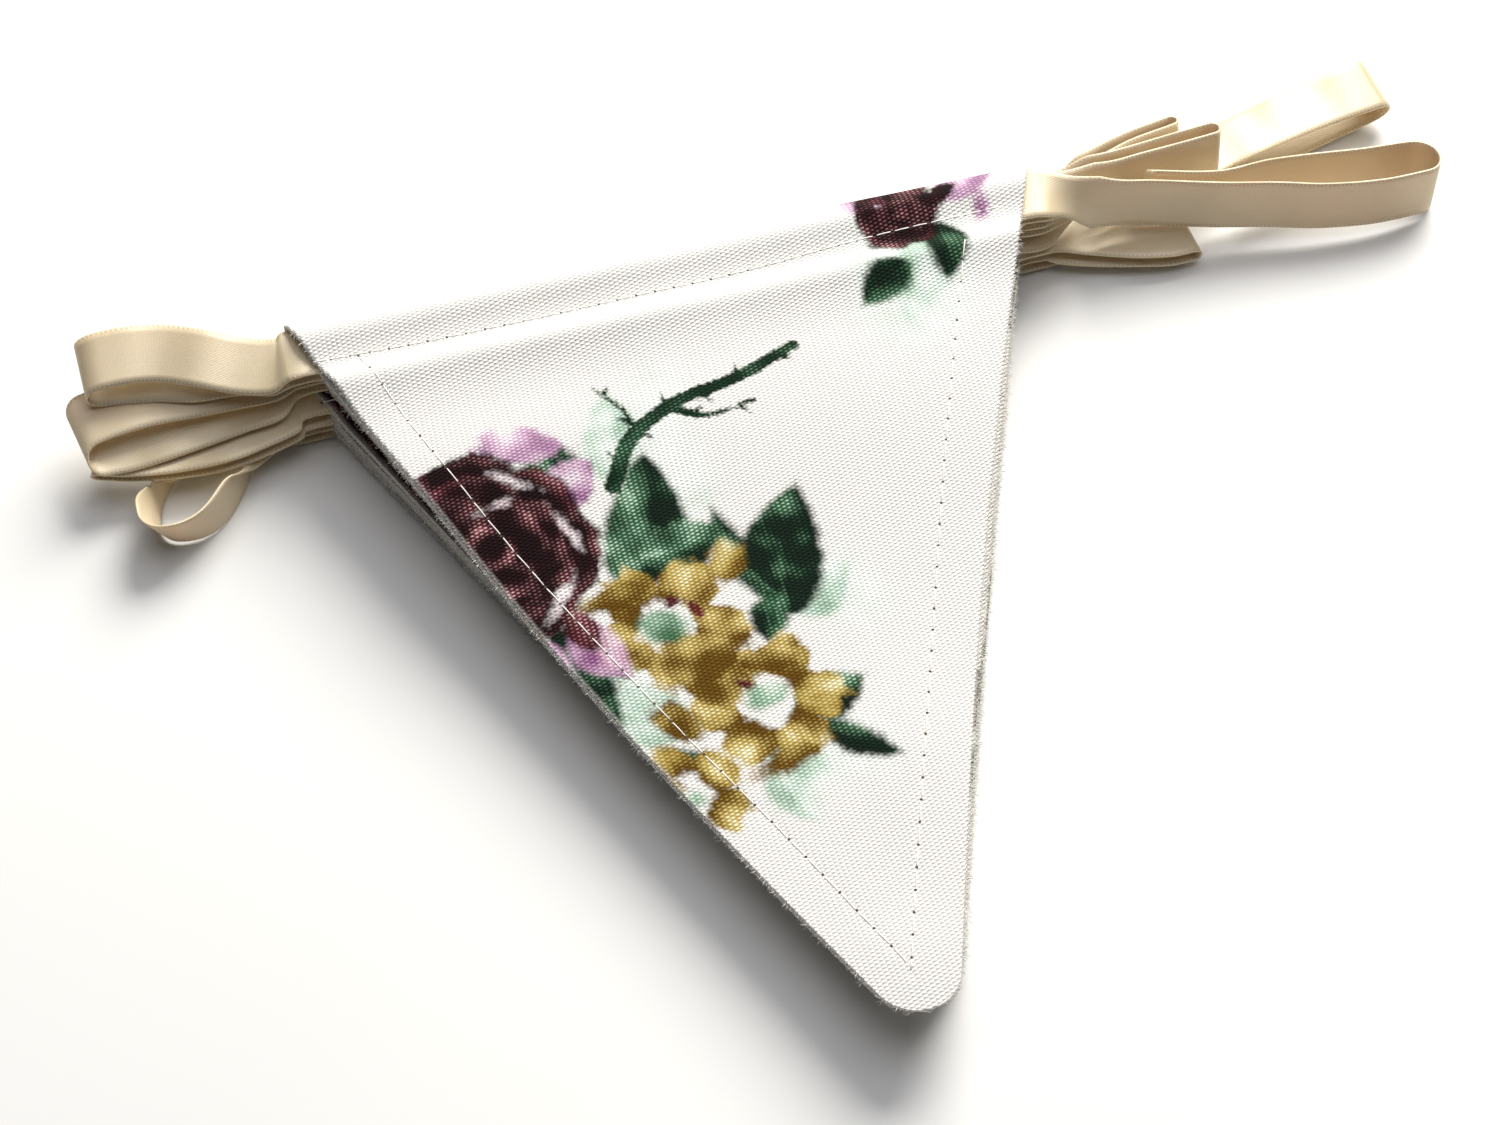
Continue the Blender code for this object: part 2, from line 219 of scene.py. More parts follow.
# The loop that stands on edge, a row per point: X, Y, Z, heading of its width in degrees, rise of its width.
LOOP_D = (
    (-0.0050, -0.0082, 0.0034, 96, -2),
    (-0.0092, -0.0122, 0.0033, 80, -8),
    (-0.0117, -0.0170, 0.0045, 62, -50),
    (-0.0138, -0.0200, 0.0050, 50, -63),
    (-0.0167, -0.0238, 0.0051, 46, -65),
    (-0.0189, -0.0257, 0.0051, 46, -65),
    (-0.0216, -0.0268, 0.0051, 46, -65),
    (-0.0245, -0.0269, 0.0051, 46, -65),
    (-0.0268, -0.0261, 0.0051, 46, -65),
    (-0.0281, -0.0243, 0.0051, 46, -65),
    (-0.0282, -0.0219, 0.0050, 46, -63),
    (-0.0277, -0.0192, 0.0047, 46, -57),
    (-0.0264, -0.0163, 0.0039, 43, -43),
    (-0.0240, -0.0134, 0.0028, 41, -28),
    (-0.0198, -0.0107, 0.0017, 46, -13),
    (-0.0130, -0.0073, 0.0010, 70, -1),
    (-0.0060, -0.0058, 0.0009, 87, 0),
)
UPPER_TAIL_FROM = 1
LOWER_TAIL_FROM = 3
STANDING_LEVEL = 1

# Seams as points in millimetres from the left end of the top flag's fold: across, down.
TOP_SEAM = ((2.9, 9.5), (23.9, 10.4), (50.0, 10.4), (75.5, 10.2), (100.0, 9.0), (122.2, 8.5))
LEFT_SEAM = ((10.6, 10.2), (22.2, 43.3), (39.0, 82.7), (52.7, 112.5), (64.1, 139.6))
RIGHT_SEAM = ((113.8, 14.4), (97.8, 53.2), (83.3, 90.6), (65.6, 136.5), (64.3, 139.9))
# Distances down from the fold in millimetres, each with how far the upper panel stands up there.
PUFFS = (
    (0, 0), (1, 0.35), (2, 0.75), (3, 1.1), (4, 1.36), (5, 1.42), (6, 1.2), (7, 0.76), (8, 0.33),
    (9, 0.09), (10, 0.0), (11, 0.0), (12, 0.45), (13, 1.25), (14, 1.98), (15, 2.32), (16, 2.22),
    (17, 1.84), (18, 1.42), (19, 1.04), (20, 0.74), (21, 0.5), (22, 0.32), (23, 0.18), (24, 0.09),
    (25, 0.03), (26, 0.0),
)
TOP_STITCH = 0.0032
SIDE_STITCH = 0.0039
THREAD_RADIUS = 0.00012
# A stitch from one needle hole to the next: share of its length, height over the cloth, share of its radius.
STITCH_PROFILE = (
    (0.05, -0.0002, 0.7),
    (0.14, 0.0, 1.0),
    (0.5, 0.00004, 1.05),
    (0.86, 0.0, 1.0),
    (0.95, -0.0002, 0.7),
)
STITCH_SLANT = 0.00008
HOLE_RADIUS = 0.00025
HOLE_DEPTH = 0.00012
HOLE_LIFT = 0.00002


def smooth(value: float) -> float:
    """Ease from 0 to 1."""
    value = min(max(value, 0.0), 1.0)
    return value * value * (3.0 - 2.0 * value)


def linear(hex_colour: str) -> tuple[float, float, float, float]:
    """Turn an sRGB colour such as 'f7f6f2' into the linear one that a shader takes."""
    parts = [int(hex_colour[at : at + 2], 16) / 255 for at in (0, 2, 4)]
    made = [part / 12.92 if part <= 0.04045 else ((part + 0.055) / 1.055) ** 2.4 for part in parts]
    return made[0], made[1], made[2], 1.0


class Surface:
    """Heights of one flag as it lies in the stack."""

    def __init__(self, cut: FlagCut) -> None:
        self.cut = cut
        self.seams = [self.seam(points) for points in (TOP_SEAM, LEFT_SEAM, RIGHT_SEAM)]
        self.seam_points = np.array([point for seam in self.seams for point in seam])

    def seam(self, points: tuple[tuple[float, float], ...]) -> list[tuple[float, float]]:
        """Carry a seam of the top flag to this one.

        Args:
            points: Points of the seam on the top flag, in millimetres from its fold's left end.

        Returns:
            Closely spaced points, each aside from the flag's middle and down from its fold, in metres.
        """
        top = FLAGS[-1]
        corners = []
        for across, down in points:
            aside = across * MM - top.middle[0] - top.bowed(down * MM)
            further = down * MM * self.cut.sides_meet / top.sides_meet
            corners.append((aside * self.cut.width / top.width, further))
        return catmull(corners, 60)

    def stack_height(self, y: float) -> float:
        """Height of the flag's underside at a place in Y."""
        part = smooth((LEVEL_UNTIL - y) / (LEVEL_UNTIL - LEVEL_AFTER))
        return self.cut.level * (CASING_PITCH + (BODY_PITCH - CASING_PITCH) * part)

    def over_both(self, down: float) -> float:
        """Height over both panels at a distance down from the fold."""
        part = smooth((down - CASING_DEPTH) / CLOSING)
        return CASING_HEIGHT + (BODY_HEIGHT - CASING_HEIGHT) * part

    def swell(self, swells: tuple[tuple[float, ...], ...], aside: float, down: float) -> float:
        """Extra height of the top flag."""
        from_left = aside + self.cut.width / 2
        total = 0.0
        for at, at_down, reach, reach_down, height in swells:
            near = ((from_left - at) / reach) ** 2 + ((down - at_down) / reach_down) ** 2
            total += height * math.exp(-near)
        return total

    def seam_pull(self, aside: float, down: float) -> float:
        """How far the sewing pulls the upper panel down."""
        away = np.hypot(self.seam_points[:, 0] - aside, self.seam_points[:, 1] - down).min()
        ripple = 0.6 + 0.4 * noise.noise(Vector((aside * 420, down * 420, 3.0)))
        return 0.00012 * math.exp(-((away / 0.0009) ** 2)) * ripple

    def puff(self, aside: float, down: float) -> float:
        """How far the upper panel stands up off the ribbon, and below the seam off the lower panel."""
        uneven = 1.0 + 0.35 * noise.noise(Vector((aside * 22, 4.0, 0.5)))
        downs, heights = zip(*PUFFS)
        return float(np.interp(down / MM, downs, heights)) * MM * uneven

    def crumple(self, aside: float, down: float) -> float:
        """Small unevenness of pressed canvas."""
        broad = noise.noise(Vector((aside * 55, down * 38, 1.7 + self.cut.level)))
        fine = noise.noise(Vector((aside * 160, down * 120, 8.1 + self.cut.level)))
        return 0.00016 * broad + 0.00005 * fine

    def middle(self, aside: float, down: float, share: float) -> Vector:
        """Point of the canvas's middle layer.

        Args:
            aside: Distance from the flag's middle.
            down: Distance from the fold.
            share: 0 on the lower panel, 1 on the upper one, between them round the fold.

        Returns:
            The point in the frame.
        """
        x, y = self.cut.place(aside, down)
        z = self.stack_height(y) + CLOTH / 2 + share * (self.over_both(down) - CLOTH)
        if self.cut.top:
            z += self.swell(SWELLS, aside, down) + share * self.swell(CASING_SWELLS, aside, down)
            z += share * (self.crumple(aside, down) + self.puff(aside, down) + 0.00008)
        if share == 1.0:
            z -= self.seam_pull(aside, down)
        return FOLD_START + Vector((x, y, z))


def catmull(corners: list[tuple[float, ...]], pieces: int) -> list[tuple[float, ...]]:
    """Smooth curve through points, with a number of pieces between each two."""
    points = [np.array(corner, dtype=float) for corner in corners]
    padded = [2 * points[0] - points[1], *points, 2 * points[-1] - points[-2]]
    made = []
    for before, start, end, after in zip(padded, padded[1:], padded[2:], padded[3:]):
        for step in range(pieces):
            part = step / pieces
            bend = (2 * before - 5 * start + 4 * end - after) * part**2
            twist = (3 * start - before - 3 * end + after) * part**3
            made.append(tuple(0.5 * (2 * start + (end - before) * part + bend + twist)))
    made.append(tuple(points[-1]))
    return made


class Ribbon:
    """The ribbon's route, from its first tail through the eight casings to its second."""

    STATION, CASING, ROUND = range(3)
    STEPS = {STATION: 8, CASING: 3, ROUND: 3}

    def in_casing(self, cut: FlagCut, to_left: bool) -> list[tuple[Vector, Vector, int]]:
        """Points inside a flag's casing."""
        height = cut.level * CASING_PITCH + CASING_HEIGHT / 2
        angle = math.radians(cut.turn)
        width = Vector((-math.sin(angle), math.cos(angle), 0.0))
        half = cut.width / 2
        points = []
        for aside in (-half - 0.0005, -half + 0.006, 0.0, half - 0.006, half + 0.0005):
            x, y = cut.place(aside, RIBBON_INSET)
            points.append((Vector((x, y, height)), width, self.CASING))
        return list(reversed(points)) if to_left else points

    def loop(self, stations: tuple, to_left: bool, tail_from: int = 0) -> list[tuple[Vector, Vector, int]]:
        """Points of a loop from its upper run round its end and back on its lower run."""
        upper, lower = [], []
        for index, (x, y, z, tilt, gap, slip) in enumerate(stations):
            before = stations[max(index - 1, 0)]
            after = stations[min(index + 1, len(stations) - 1)]
            along = (Vector(after[:3]) - Vector(before[:3])).normalized()
            side = along.cross(Vector((0, 0, 1))) if to_left else Vector((0, 0, 1)).cross(along)
            side.normalize()
            above = side.cross(along) if to_left else along.cross(side)
            angle = math.radians(tilt)
            width = side * math.cos(angle) + above * math.sin(angle)
            face = above * math.cos(angle) - side * math.sin(angle)
            centre = Vector((x, y, z))
            upper.append((centre + face * gap / 2, width, self.STATION))
            lower.append((centre - face * gap / 2 + width * slip, width, self.STATION))
        middle = (upper[-1][0] + lower[-1][0]) / 2
        stretch = LEFT_TURN_STRETCH if to_left else 1.0
        turn = []
        for step in range(1, TURN_STEPS):
            angle = math.pi * step / TURN_STEPS
            outward = face * math.cos(angle) + along * math.sin(angle) * stretch
            place = middle + outward * gap / 2 - width * math.cos(angle) * slip / 2
            turn.append((place, width, self.ROUND))
        lower.reverse()
        return upper + turn + (lower[:-tail_from] if tail_from else lower)

    def standing(self) -> list[tuple[Vector, Vector, int]]:
        """Points of the loop that stands on edge."""
        points = []
        for x, y, z, heading, rise in LOOP_D:
            flat = math.cos(math.radians(rise))
            across = math.cos(math.radians(heading)) * flat
            deep = math.sin(math.radians(heading)) * flat
            width = Vector((across, deep, math.sin(math.radians(rise))))
            points.append((Vector((x, y, z)), width, self.STATION))
        return points

    def control_points(self) -> list[tuple[Vector, Vector, int]]:
        """Points of the whole route."""
        joins = {7: (LOOP_A, True), 6: (LOOP_3, False), 5: (LOOP_B, True), 4: (LOOP_4, False)}
        joins.update({3: (LOOP_C, True), 2: (LOOP_5, False)})
        path = list(reversed(self.loop(LOOP_2, False, UPPER_TAIL_FROM)))
        for cut in reversed(FLAGS):
            path += self.in_casing(cut, cut.level % 2 == 1)
            if cut.level in joins:
                path += self.loop(*joins[cut.level])
            elif cut.level == STANDING_LEVEL:
                path += self.standing()
        return path + list(reversed(self.loop(LOOP_1, False)[LOWER_TAIL_FROM:]))

    @staticmethod
    def between(before: Vector, start: Vector, end: Vector, after: Vector, part: float) -> Vector:
        """Point of a smooth curve between start and end, which leaves and arrives along its neighbours."""
        chord = (end - start).length
        leaving = (end - before).normalized() * chord
        arriving = (after - start).normalized() * chord
        square, cube = part * part, part * part * part
        share = start * (2.0 * cube - 3.0 * square + 1.0) + end * (3.0 * square - 2.0 * cube)
        return share + leaving * (cube - 2.0 * square + part) + arriving * (cube - square)

    def sections(self) -> list[tuple[Vector, Vector]]:
        """The ribbon's sections, each a centre and the direction of its width."""
        path = self.control_points()
        last = len(path) - 1
        made = []
        for index in range(last):
            corners = [path[min(max(index + step, 0), last)] for step in (-1, 0, 1, 2)]
            kinds = {corners[1][2], corners[2][2]}
            kind = self.ROUND if self.ROUND in kinds else max(kinds) if len(kinds) == 1 else self.STATION
            steps = self.STEPS[kind]
            for step in range(steps):
                part = step / steps
                centre = self.between(*(corner[0] for corner in corners), part)
                made.append((centre, corners[1][1].lerp(corners[2][1], smooth(part) * 0.4 + part * 0.6)))
        made.append(path[-1][:2])
        return self.eased(made)

    @staticmethod
    def eased(sections: list[tuple[Vector, Vector]]) -> list[tuple[Vector, Vector]]:
        """The same sections with the twist of the width spread over a few of them."""
        last = len(sections) - 1
        made = []
        for index, (centre, _) in enumerate(sections):
            near = [sections[min(max(index + step, 0), last)][1] for step in range(-5, 6)]
            made.append((centre, sum(near, Vector()).normalized() * sections[index][1].length))
        return made


class Coat(Enum):
    """Coats of the print, from the first on the canvas to the last."""

    WASH = "wash"
    PALE_LEAF = "pale_leaf"
    LEAF = "leaf"
    STEM = "stem"
    OCHRE = "ochre"
    CENTRE = "centre"
    PETAL = "petal"
    ROSE = "rose"
    LIGHT = "light"
    ACCENT = "accent"


FAR = -9.0


Pair = tuple[np.ndarray, np.ndarray]


def rotated(x: np.ndarray, y: np.ndarray, at: tuple[float, float], angle: float) -> Pair:
    """Place of points seen from a motif: along its heading and to its side."""
    turn = math.radians(angle)
    dx, dy = x - at[0], y - at[1]
    return dx * math.cos(turn) + dy * math.sin(turn), dy * math.cos(turn) - dx * math.sin(turn)


@dataclass(frozen=True)
class Leaf:
    """A brushed leaf with a pointed tip and a midrib.

    Attributes:
        coat: Coat that it is printed in.
        at: Where its stalk begins, in millimetres across and down.
        length: Its length.
        width: Its width.
        heading: Direction of its tip in degrees, 0 across and 90 down the flag.
        bend: How far its middle is out of straight.
        depth: Density of its colour.
        teeth: Depth of the teeth on its edge.
    """

    coat: Coat
    at: tuple[float, float]
    length: float
    width: float
    heading: float
    bend: float = 0.0
    depth: float = 0.6
    teeth: float = 0.35

    def paint(self, x: np.ndarray, y: np.ndarray, rough: np.ndarray) -> Pair:
        """Inside distance in millimetres and density of colour, at points of the cloth."""
        along, aside = rotated(x, y, self.at, self.heading)
        part = np.clip(along / self.length, 0.0, 1.0)
        aside = aside - self.bend * np.sin(math.pi * part)
        half = self.width / 2 * np.sin(math.pi * part**0.78) ** 0.75
        half = half + self.teeth * np.abs(np.sin(part * 19 + self.length)) * np.sin(math.pi * part)
        inside = half - np.abs(aside) + 0.5 * rough
        inside = np.minimum(inside, np.minimum(along, self.length - along) + 0.3)
        rib = np.exp(-((aside / 0.35) ** 2)) * (1.0 - part)
        veins = 0.5 + 0.5 * np.sin((along - np.abs(aside) * 1.1) * 2.4)
        half_tone = 0.18 * np.tanh(aside * 1.5)
        density = self.depth + half_tone - 0.22 * rib + 0.10 * veins * (np.abs(aside) > 0.4)
        return inside, density


# Rings of a rose from its outside: petals, their distance and their size as shares of its radius.
ROSE_RINGS = ((6, 0.62, 0.46), (5, 0.40, 0.42), (4, 0.22, 0.34), (2, 0.08, 0.22))


@dataclass(frozen=True)
class Rose:
    """A full rose of overlapping petals, each dark towards the heart and lighter along its rim."""

    coat: Coat
    at: tuple[float, float]
    radius: float
    turn: float = 0.0
    depth: float = 0.98

    def paint(self, x: np.ndarray, y: np.ndarray, rough: np.ndarray) -> Pair:
        """Inside distance in millimetres and density of colour, at points of the cloth."""
        along, aside = rotated(x, y, self.at, self.turn)
        inside = np.full_like(x, FAR)
        density = np.full_like(x, self.depth)
        for ring, (petals, far, size) in enumerate(ROSE_RINGS):
            for petal in range(petals):
                angle = 2 * math.pi * (petal + 0.37 * ring) / petals + 0.35 * math.sin(3.1 * petal + ring)
                out = along * math.cos(angle) + aside * math.sin(angle) - far * self.radius
                side = aside * math.cos(angle) - along * math.sin(angle)
                long = self.radius * size * (0.86 + 0.16 * math.sin(2.3 * petal + ring))
                wide = long * 1.32
                within = (1.0 - np.hypot(out / long, side / wide)) * long + 0.9 * rough
                rim = np.exp(-(((within - 0.9) / 1.0) ** 2))
                heart = np.clip(0.5 - out / long, 0.0, 1.3)
                tone = self.depth + 0.34 * heart - 0.46 * rim + 0.12 * math.sin(5.0 * petal + 2.0 * ring)
                share = np.clip(within / 0.8 + 0.3, 0.0, 1.0)
                density = density * (1.0 - share) + tone * share
                inside = np.maximum(inside, within)
        return inside, density


@dataclass(frozen=True)
class Blossom:
    """A small open flower of rounded petals round an unprinted middle."""

    coat: Coat
    at: tuple[float, float]
    radius: float
    petals: int = 5
    turn: float = 0.0
    depth: float = 0.45
    hollow: float = 0.36

    def paint(self, x: np.ndarray, y: np.ndarray, rough: np.ndarray) -> Pair:
        """Inside distance in millimetres and density of colour, at points of the cloth."""
        along, aside = rotated(x, y, self.at, self.turn)
        far = np.hypot(along, aside)
        around = np.arctan2(aside, along)
        lobes = np.abs(np.cos(self.petals * around / 2)) ** 0.6
        outline = self.radius * (0.62 + 0.38 * lobes)
        inside = np.minimum(outline - far, far - self.radius * self.hollow) + 1.8 * rough
        streaks = 0.5 + 0.5 * np.sin(around * self.petals * 4 + 3 * rough)
        cleft = 0.30 * (1.0 - lobes) + 0.30 * np.exp(-(((far - self.radius * self.hollow) / 1.6) ** 2))
        fade = 0.25 * np.clip(far / self.radius - 0.6, 0.0, 0.6)
        return inside, self.depth + cleft - fade + 0.12 * streaks


@dataclass(frozen=True)
class Dab:
    """One touch of the brush, longer than it is wide."""

    coat: Coat
    at: tuple[float, float]
    length: float
    width: float
    heading: float = 0.0
    depth: float = 0.55
    soft: float = 0.8

    def paint(self, x: np.ndarray, y: np.ndarray, rough: np.ndarray) -> Pair:
        """Inside distance in millimetres and density of colour, at points of the cloth."""
        along, aside = rotated(x, y, self.at, self.heading)
        far = np.hypot(along / (self.length / 2), aside / (self.width / 2))
        inside = (1.0 - far) * min(self.length, self.width) / 2 + self.soft * rough
        return inside, self.depth + 0.12 * np.tanh(aside)


@dataclass(frozen=True)
class Stem:
    """A twig that narrows towards its end, with thorns at both sides."""

    coat: Coat
    points: tuple[tuple[float, float], ...]
    thick: float
    thin: float
    thorns: int = 0
    depth: float = 0.85

    def paint(self, x: np.ndarray, y: np.ndarray, rough: np.ndarray) -> Pair:
        """Inside distance in millimetres and density of colour, at points of the cloth."""
        line = np.array(catmull(list(self.points), 14))
        inside = np.full_like(x, FAR)
        for at, (px, py) in enumerate(line):
            part = at / (len(line) - 1)
            radius = (self.thick * (1 - part) + self.thin * part) / 2
            inside = np.maximum(inside, radius - np.hypot(x - px, y - py))
        for thorn in range(self.thorns):
            at = int((thorn + 0.8) / self.thorns * (len(line) - 2))
            step = line[at + 1] - line[at]
            step = step / np.hypot(*step)
            hand = 1 if thorn % 2 else -1
            away = np.array([-step[1], step[0]]) * hand
            for piece in range(4):
                spot = line[at] + away * (self.thick * 0.35 + piece * 0.55) + step * piece * 0.25
                inside = np.maximum(inside, 0.5 - 0.10 * piece - np.hypot(x - spot[0], y - spot[1]))
        return inside + 0.25 * rough, np.full_like(x, self.depth)


GREEN, PALE = Coat.LEAF, Coat.PALE_LEAF
PRINT = (
    Dab(Coat.WASH, (55, 36), 22, 9, 110, 0.30), Dab(Coat.WASH, (77, 73), 16, 11, 60, 0.40),
    Dab(Coat.WASH, (104, 18), 30, 21, 105, 0.50), Dab(Coat.WASH, (66, 100), 18, 12, 30, 0.30),
    Dab(Coat.WASH, (41, 80), 14, 13, 60, 0.30), Dab(Coat.WASH, (57, 48), 10, 18, 10, 0.34),
    Leaf(PALE, (45, 45), 17, 9, -78, 1.0, 0.30), Leaf(PALE, (66, 74), 13, 9, -20, 1.2, 0.30),
    Leaf(PALE, (62, 97), 14, 9, 120, -1.0, 0.42), Leaf(PALE, (112, 12), 19, 9, 125, 1.5, 0.30),
    Leaf(PALE, (57, 101), 12, 7, 75, 0.6, 0.42), Leaf(PALE, (35, 84), 15, 11, 30, 0.6, 0.34),
    Leaf(GREEN, (44, 66), 26, 13, -72, 1.6, 0.66), Leaf(GREEN, (41, 47), 15, 8, -112, -1.0, 0.62),
    Leaf(GREEN, (47, 60), 14, 10, -10, 1.0, 0.50), Leaf(GREEN, (67, 76), 24, 13, -72, -1.8, 0.86),
    Leaf(GREEN, (66, 72), 19, 6, -108, -1.2, 0.80), Leaf(GREEN, (66, 72), 9, 6, 115, 0.6, 0.80),
    Leaf(GREEN, (31, 69), 21, 10, 76, 1.0, 0.88), Leaf(GREEN, (63, 92), 12, 8, -12, 1.0, 0.62),
    Leaf(GREEN, (66, 96), 13, 5, 42, 0.6, 0.86), Leaf(GREEN, (40, 95), 9, 4, 20, 0.3, 0.80),
    Leaf(GREEN, (104, 17), 11, 7, 150, 0.8, 0.70), Leaf(GREEN, (111, 9), 12, 7, 96, -0.9, 0.78),
    Leaf(GREEN, (26, 80), 12, 7, 60, 0.9, 0.80),
    Stem(Coat.STEM, ((46, 46), (51, 38), (60, 33), (70, 31), (81, 27)), 3.0, 2.2, 6),
    Stem(Coat.STEM, ((58, 34), (64, 37), (72, 36)), 1.5, 1.0, 2),
    Stem(Coat.STEM, ((51, 38), (51, 33), (47, 27)), 1.0, 0.5, 2),
    Stem(Coat.STEM, ((65, 72), (64, 77)), 2.2, 1.0, 0), Blossom(Coat.OCHRE, (48, 73), 12.5, 5, 20, 0.46),
    Blossom(Coat.OCHRE, (59, 90), 12.5, 6, 5, 0.44), Blossom(Coat.OCHRE, (43, 103), 9.5, 5, 40, 0.48),
    Dab(Coat.OCHRE, (51, 82), 17, 10, 60, 0.66), Dab(Coat.OCHRE, (41, 66), 13, 4.5, -8, 0.85),
    Dab(Coat.OCHRE, (54, 81), 12, 4.5, -28, 0.92), Dab(Coat.OCHRE, (45, 90), 9, 6, 50, 0.90),
    Dab(Coat.OCHRE, (61, 83), 9, 3.6, 8, 0.88), Dab(Coat.OCHRE, (59, 101), 13, 4, -12, 0.84),
    Dab(Coat.OCHRE, (60, 64), 6, 8, 20, 0.60), Dab(Coat.OCHRE, (40, 101), 6, 4, 30, 0.86),
    Dab(Coat.CENTRE, (47.5, 73), 8, 6, 20, 0.62), Dab(Coat.CENTRE, (59, 89), 7, 4.5, -10, 0.50),
    Dab(Coat.CENTRE, (39, 79), 4, 3, 10, 0.55), Dab(Coat.CENTRE, (43, 104), 4, 3, 0, 0.45),
    Dab(Coat.PETAL, (19, 39), 9, 6, -10, 0.56, 2.0), Dab(Coat.PETAL, (33, 35), 14, 6, 14, 0.42, 2.0),
    Leaf(Coat.PETAL, (34, 46), 11, 8, -30, 1.0, 0.34, 0.5),
    Leaf(Coat.PETAL, (34, 68), 14, 8, 62, 1.0, 0.36, 0.0),
    Leaf(Coat.PETAL, (28, 70), 14, 8, 88, 0.4, 0.52, 0.0),
    Leaf(Coat.PETAL, (112, 5), 14, 7, -30, 0.5, 0.45, 0.0),
    Leaf(Coat.PETAL, (104, 6), 12, 6, -150, 0.5, 0.45, 0.0), Dab(Coat.PETAL, (119, 8), 3, 5, 20, 0.5),
    Rose(Coat.ROSE, (24.5, 52.5), 17.5, 20), Rose(Coat.ROSE, (105, 5.5), 8.0, 60, 1.0),
    Dab(Coat.ROSE, (113, 4), 7, 4, -30, 0.95), Leaf(GREEN, (119, 42), 24, 9, 98, 0.6, 0.95),
    Dab(Coat.ROSE, (35, 70), 8, 6, 60, 0.46), Dab(Coat.LIGHT, (30, 41), 6, 1.6, 35, 0.3),
    Dab(Coat.LIGHT, (17, 47), 3.6, 1.3, 110, 0.2), Dab(Coat.LIGHT, (33, 64), 6.5, 1.8, -50, 0.2),
    Dab(Coat.LIGHT, (37, 52), 5, 1.2, 70, 0.4), Dab(Coat.LIGHT, (22, 60), 4, 1.0, 20, 0.5),
    Dab(Coat.LIGHT, (26, 45), 3.5, 1.0, -10, 0.5), Dab(Coat.ACCENT, (50, 69), 3.2, 1.7, -5, 0.8),
    Dab(Coat.ACCENT, (53, 71), 3.2, 1.5, 60, 0.85), Dab(Coat.ACCENT, (56, 86), 2.6, 1.2, 30, 0.6),
    Dab(Coat.ACCENT, (39, 106), 3.4, 2.0, 40, 0.8), Dab(Coat.ACCENT, (42, 109), 2.4, 1.6, 10, 0.7),
)
# The print's repeat in millimetres.
REPEAT_DOWN = 118.0
REPEAT_ACROSS = 122.0
# Shift of the print in millimetres on each flag, from the top flag's.
SHIFTS = {8: (0.0, 0.0), 7: (6.0, 27.0), 6: (14.0, 34.0), 5: (70.0, 12.0), 4: (13.0, 30.0), 3: (18.0, 36.0)}
SHIFTS.update({2: (20.0, 90.0), 1: (58.0, 30.0)})


class Print:
    """The flower print, worked out for points of the cloth."""

    def __init__(self, shift: tuple[float, float]) -> None:
        self.shift = shift

    def coats(self, x: np.ndarray, y: np.ndarray) -> dict[Coat, np.ndarray]:
        """Inside distance and density of each coat.

        Args:
            x: Distances across the cloth from the fold's left end, in metres.
            y: Distances down the cloth from the fold, in metres.

        Returns:
            For each coat an array of rows, each the inside distance in millimetres, the density and 0.
        """
        across = x / MM + self.shift[0]
        down = y / MM + self.shift[1]
        if self.shift != (0.0, 0.0):
            across = np.mod(across, REPEAT_ACROSS)
            down = np.mod(down, REPEAT_DOWN)
        pairs = list(zip(across.tolist(), down.tolist()))
        rough = np.array([noise.noise(Vector((a * 0.33, b * 0.33, 2.0))) for a, b in pairs])
        rough += 0.35 * np.array([noise.noise(Vector((a * 0.9, b * 0.9, 5.0))) for a, b in pairs])
        blots = np.array([noise.noise(Vector((a * 0.24, b * 0.24, 9.0))) for a, b in pairs])
        made = {}
        for coat in Coat:
            inside = np.full_like(across, FAR)
            density = np.zeros_like(across)
            for motif in PRINT:
                if motif.coat is not coat:
                    continue
                near, thick = motif.paint(across, down, rough)
                share = np.clip((near + 0.25) / 0.5, 0.0, 1.0)
                density = density * (1.0 - share) + thick * share
                density = np.where((inside < -0.3) & (near > inside), thick, density)
                inside = np.maximum(inside, near)
            density = np.clip(density + 0.12 + 0.62 * blots, 0.02, 1.3)
            made[coat] = np.stack([inside, density, np.zeros_like(inside)], axis=1)
        return made


@dataclass(frozen=True)
class Grid:
    """How finely a flag's cloth is made: pieces across, down the upper panel and down the lower one."""

    across: int
    upper: int
    lower: int
    fold: int


FINE = Grid(170, 205, 26, 8)
PLAIN = Grid(48, 60, 14, 5)


def new_object(name: str, mesh: bpy.types.Mesh, *materials: bpy.types.Material) -> bpy.types.Object:
    """Make an object of a mesh and put it in the scene."""
    made = bpy.data.objects.new(name, mesh)
    for material in materials:
        made.data.materials.append(material)
    bpy.context.scene.collection.objects.link(made)
    return made


def sheet_mesh(name: str, grid: list[list[Vector]], flat: list[list[tuple[float, float]]]) -> bpy.types.Mesh:
    """Make an open sheet from rows of points, with its flat places as UV in metres."""
    rows, columns = len(grid), len(grid[0])
    points = [tuple(point) for row in grid for point in row]
    faces = []
    for row in range(rows - 1):
        for column in range(columns - 1):
            at = row * columns + column
            faces.append((at, at + 1, at + columns + 1, at + columns))
    mesh = bpy.data.meshes.new(name)
    mesh.from_pydata(points, [], faces)
    places = np.array([place for row in flat for place in row])
    corners = np.empty(len(mesh.loops), dtype=np.int32)
    mesh.loops.foreach_get("vertex_index", corners)
    layer = mesh.uv_layers.new(name="cloth")
    layer.data.foreach_set("uv", places[corners].astype(np.float32).ravel())
    mesh.polygons.foreach_set("use_smooth", [True] * len(mesh.polygons))
    mesh.update()
    return mesh


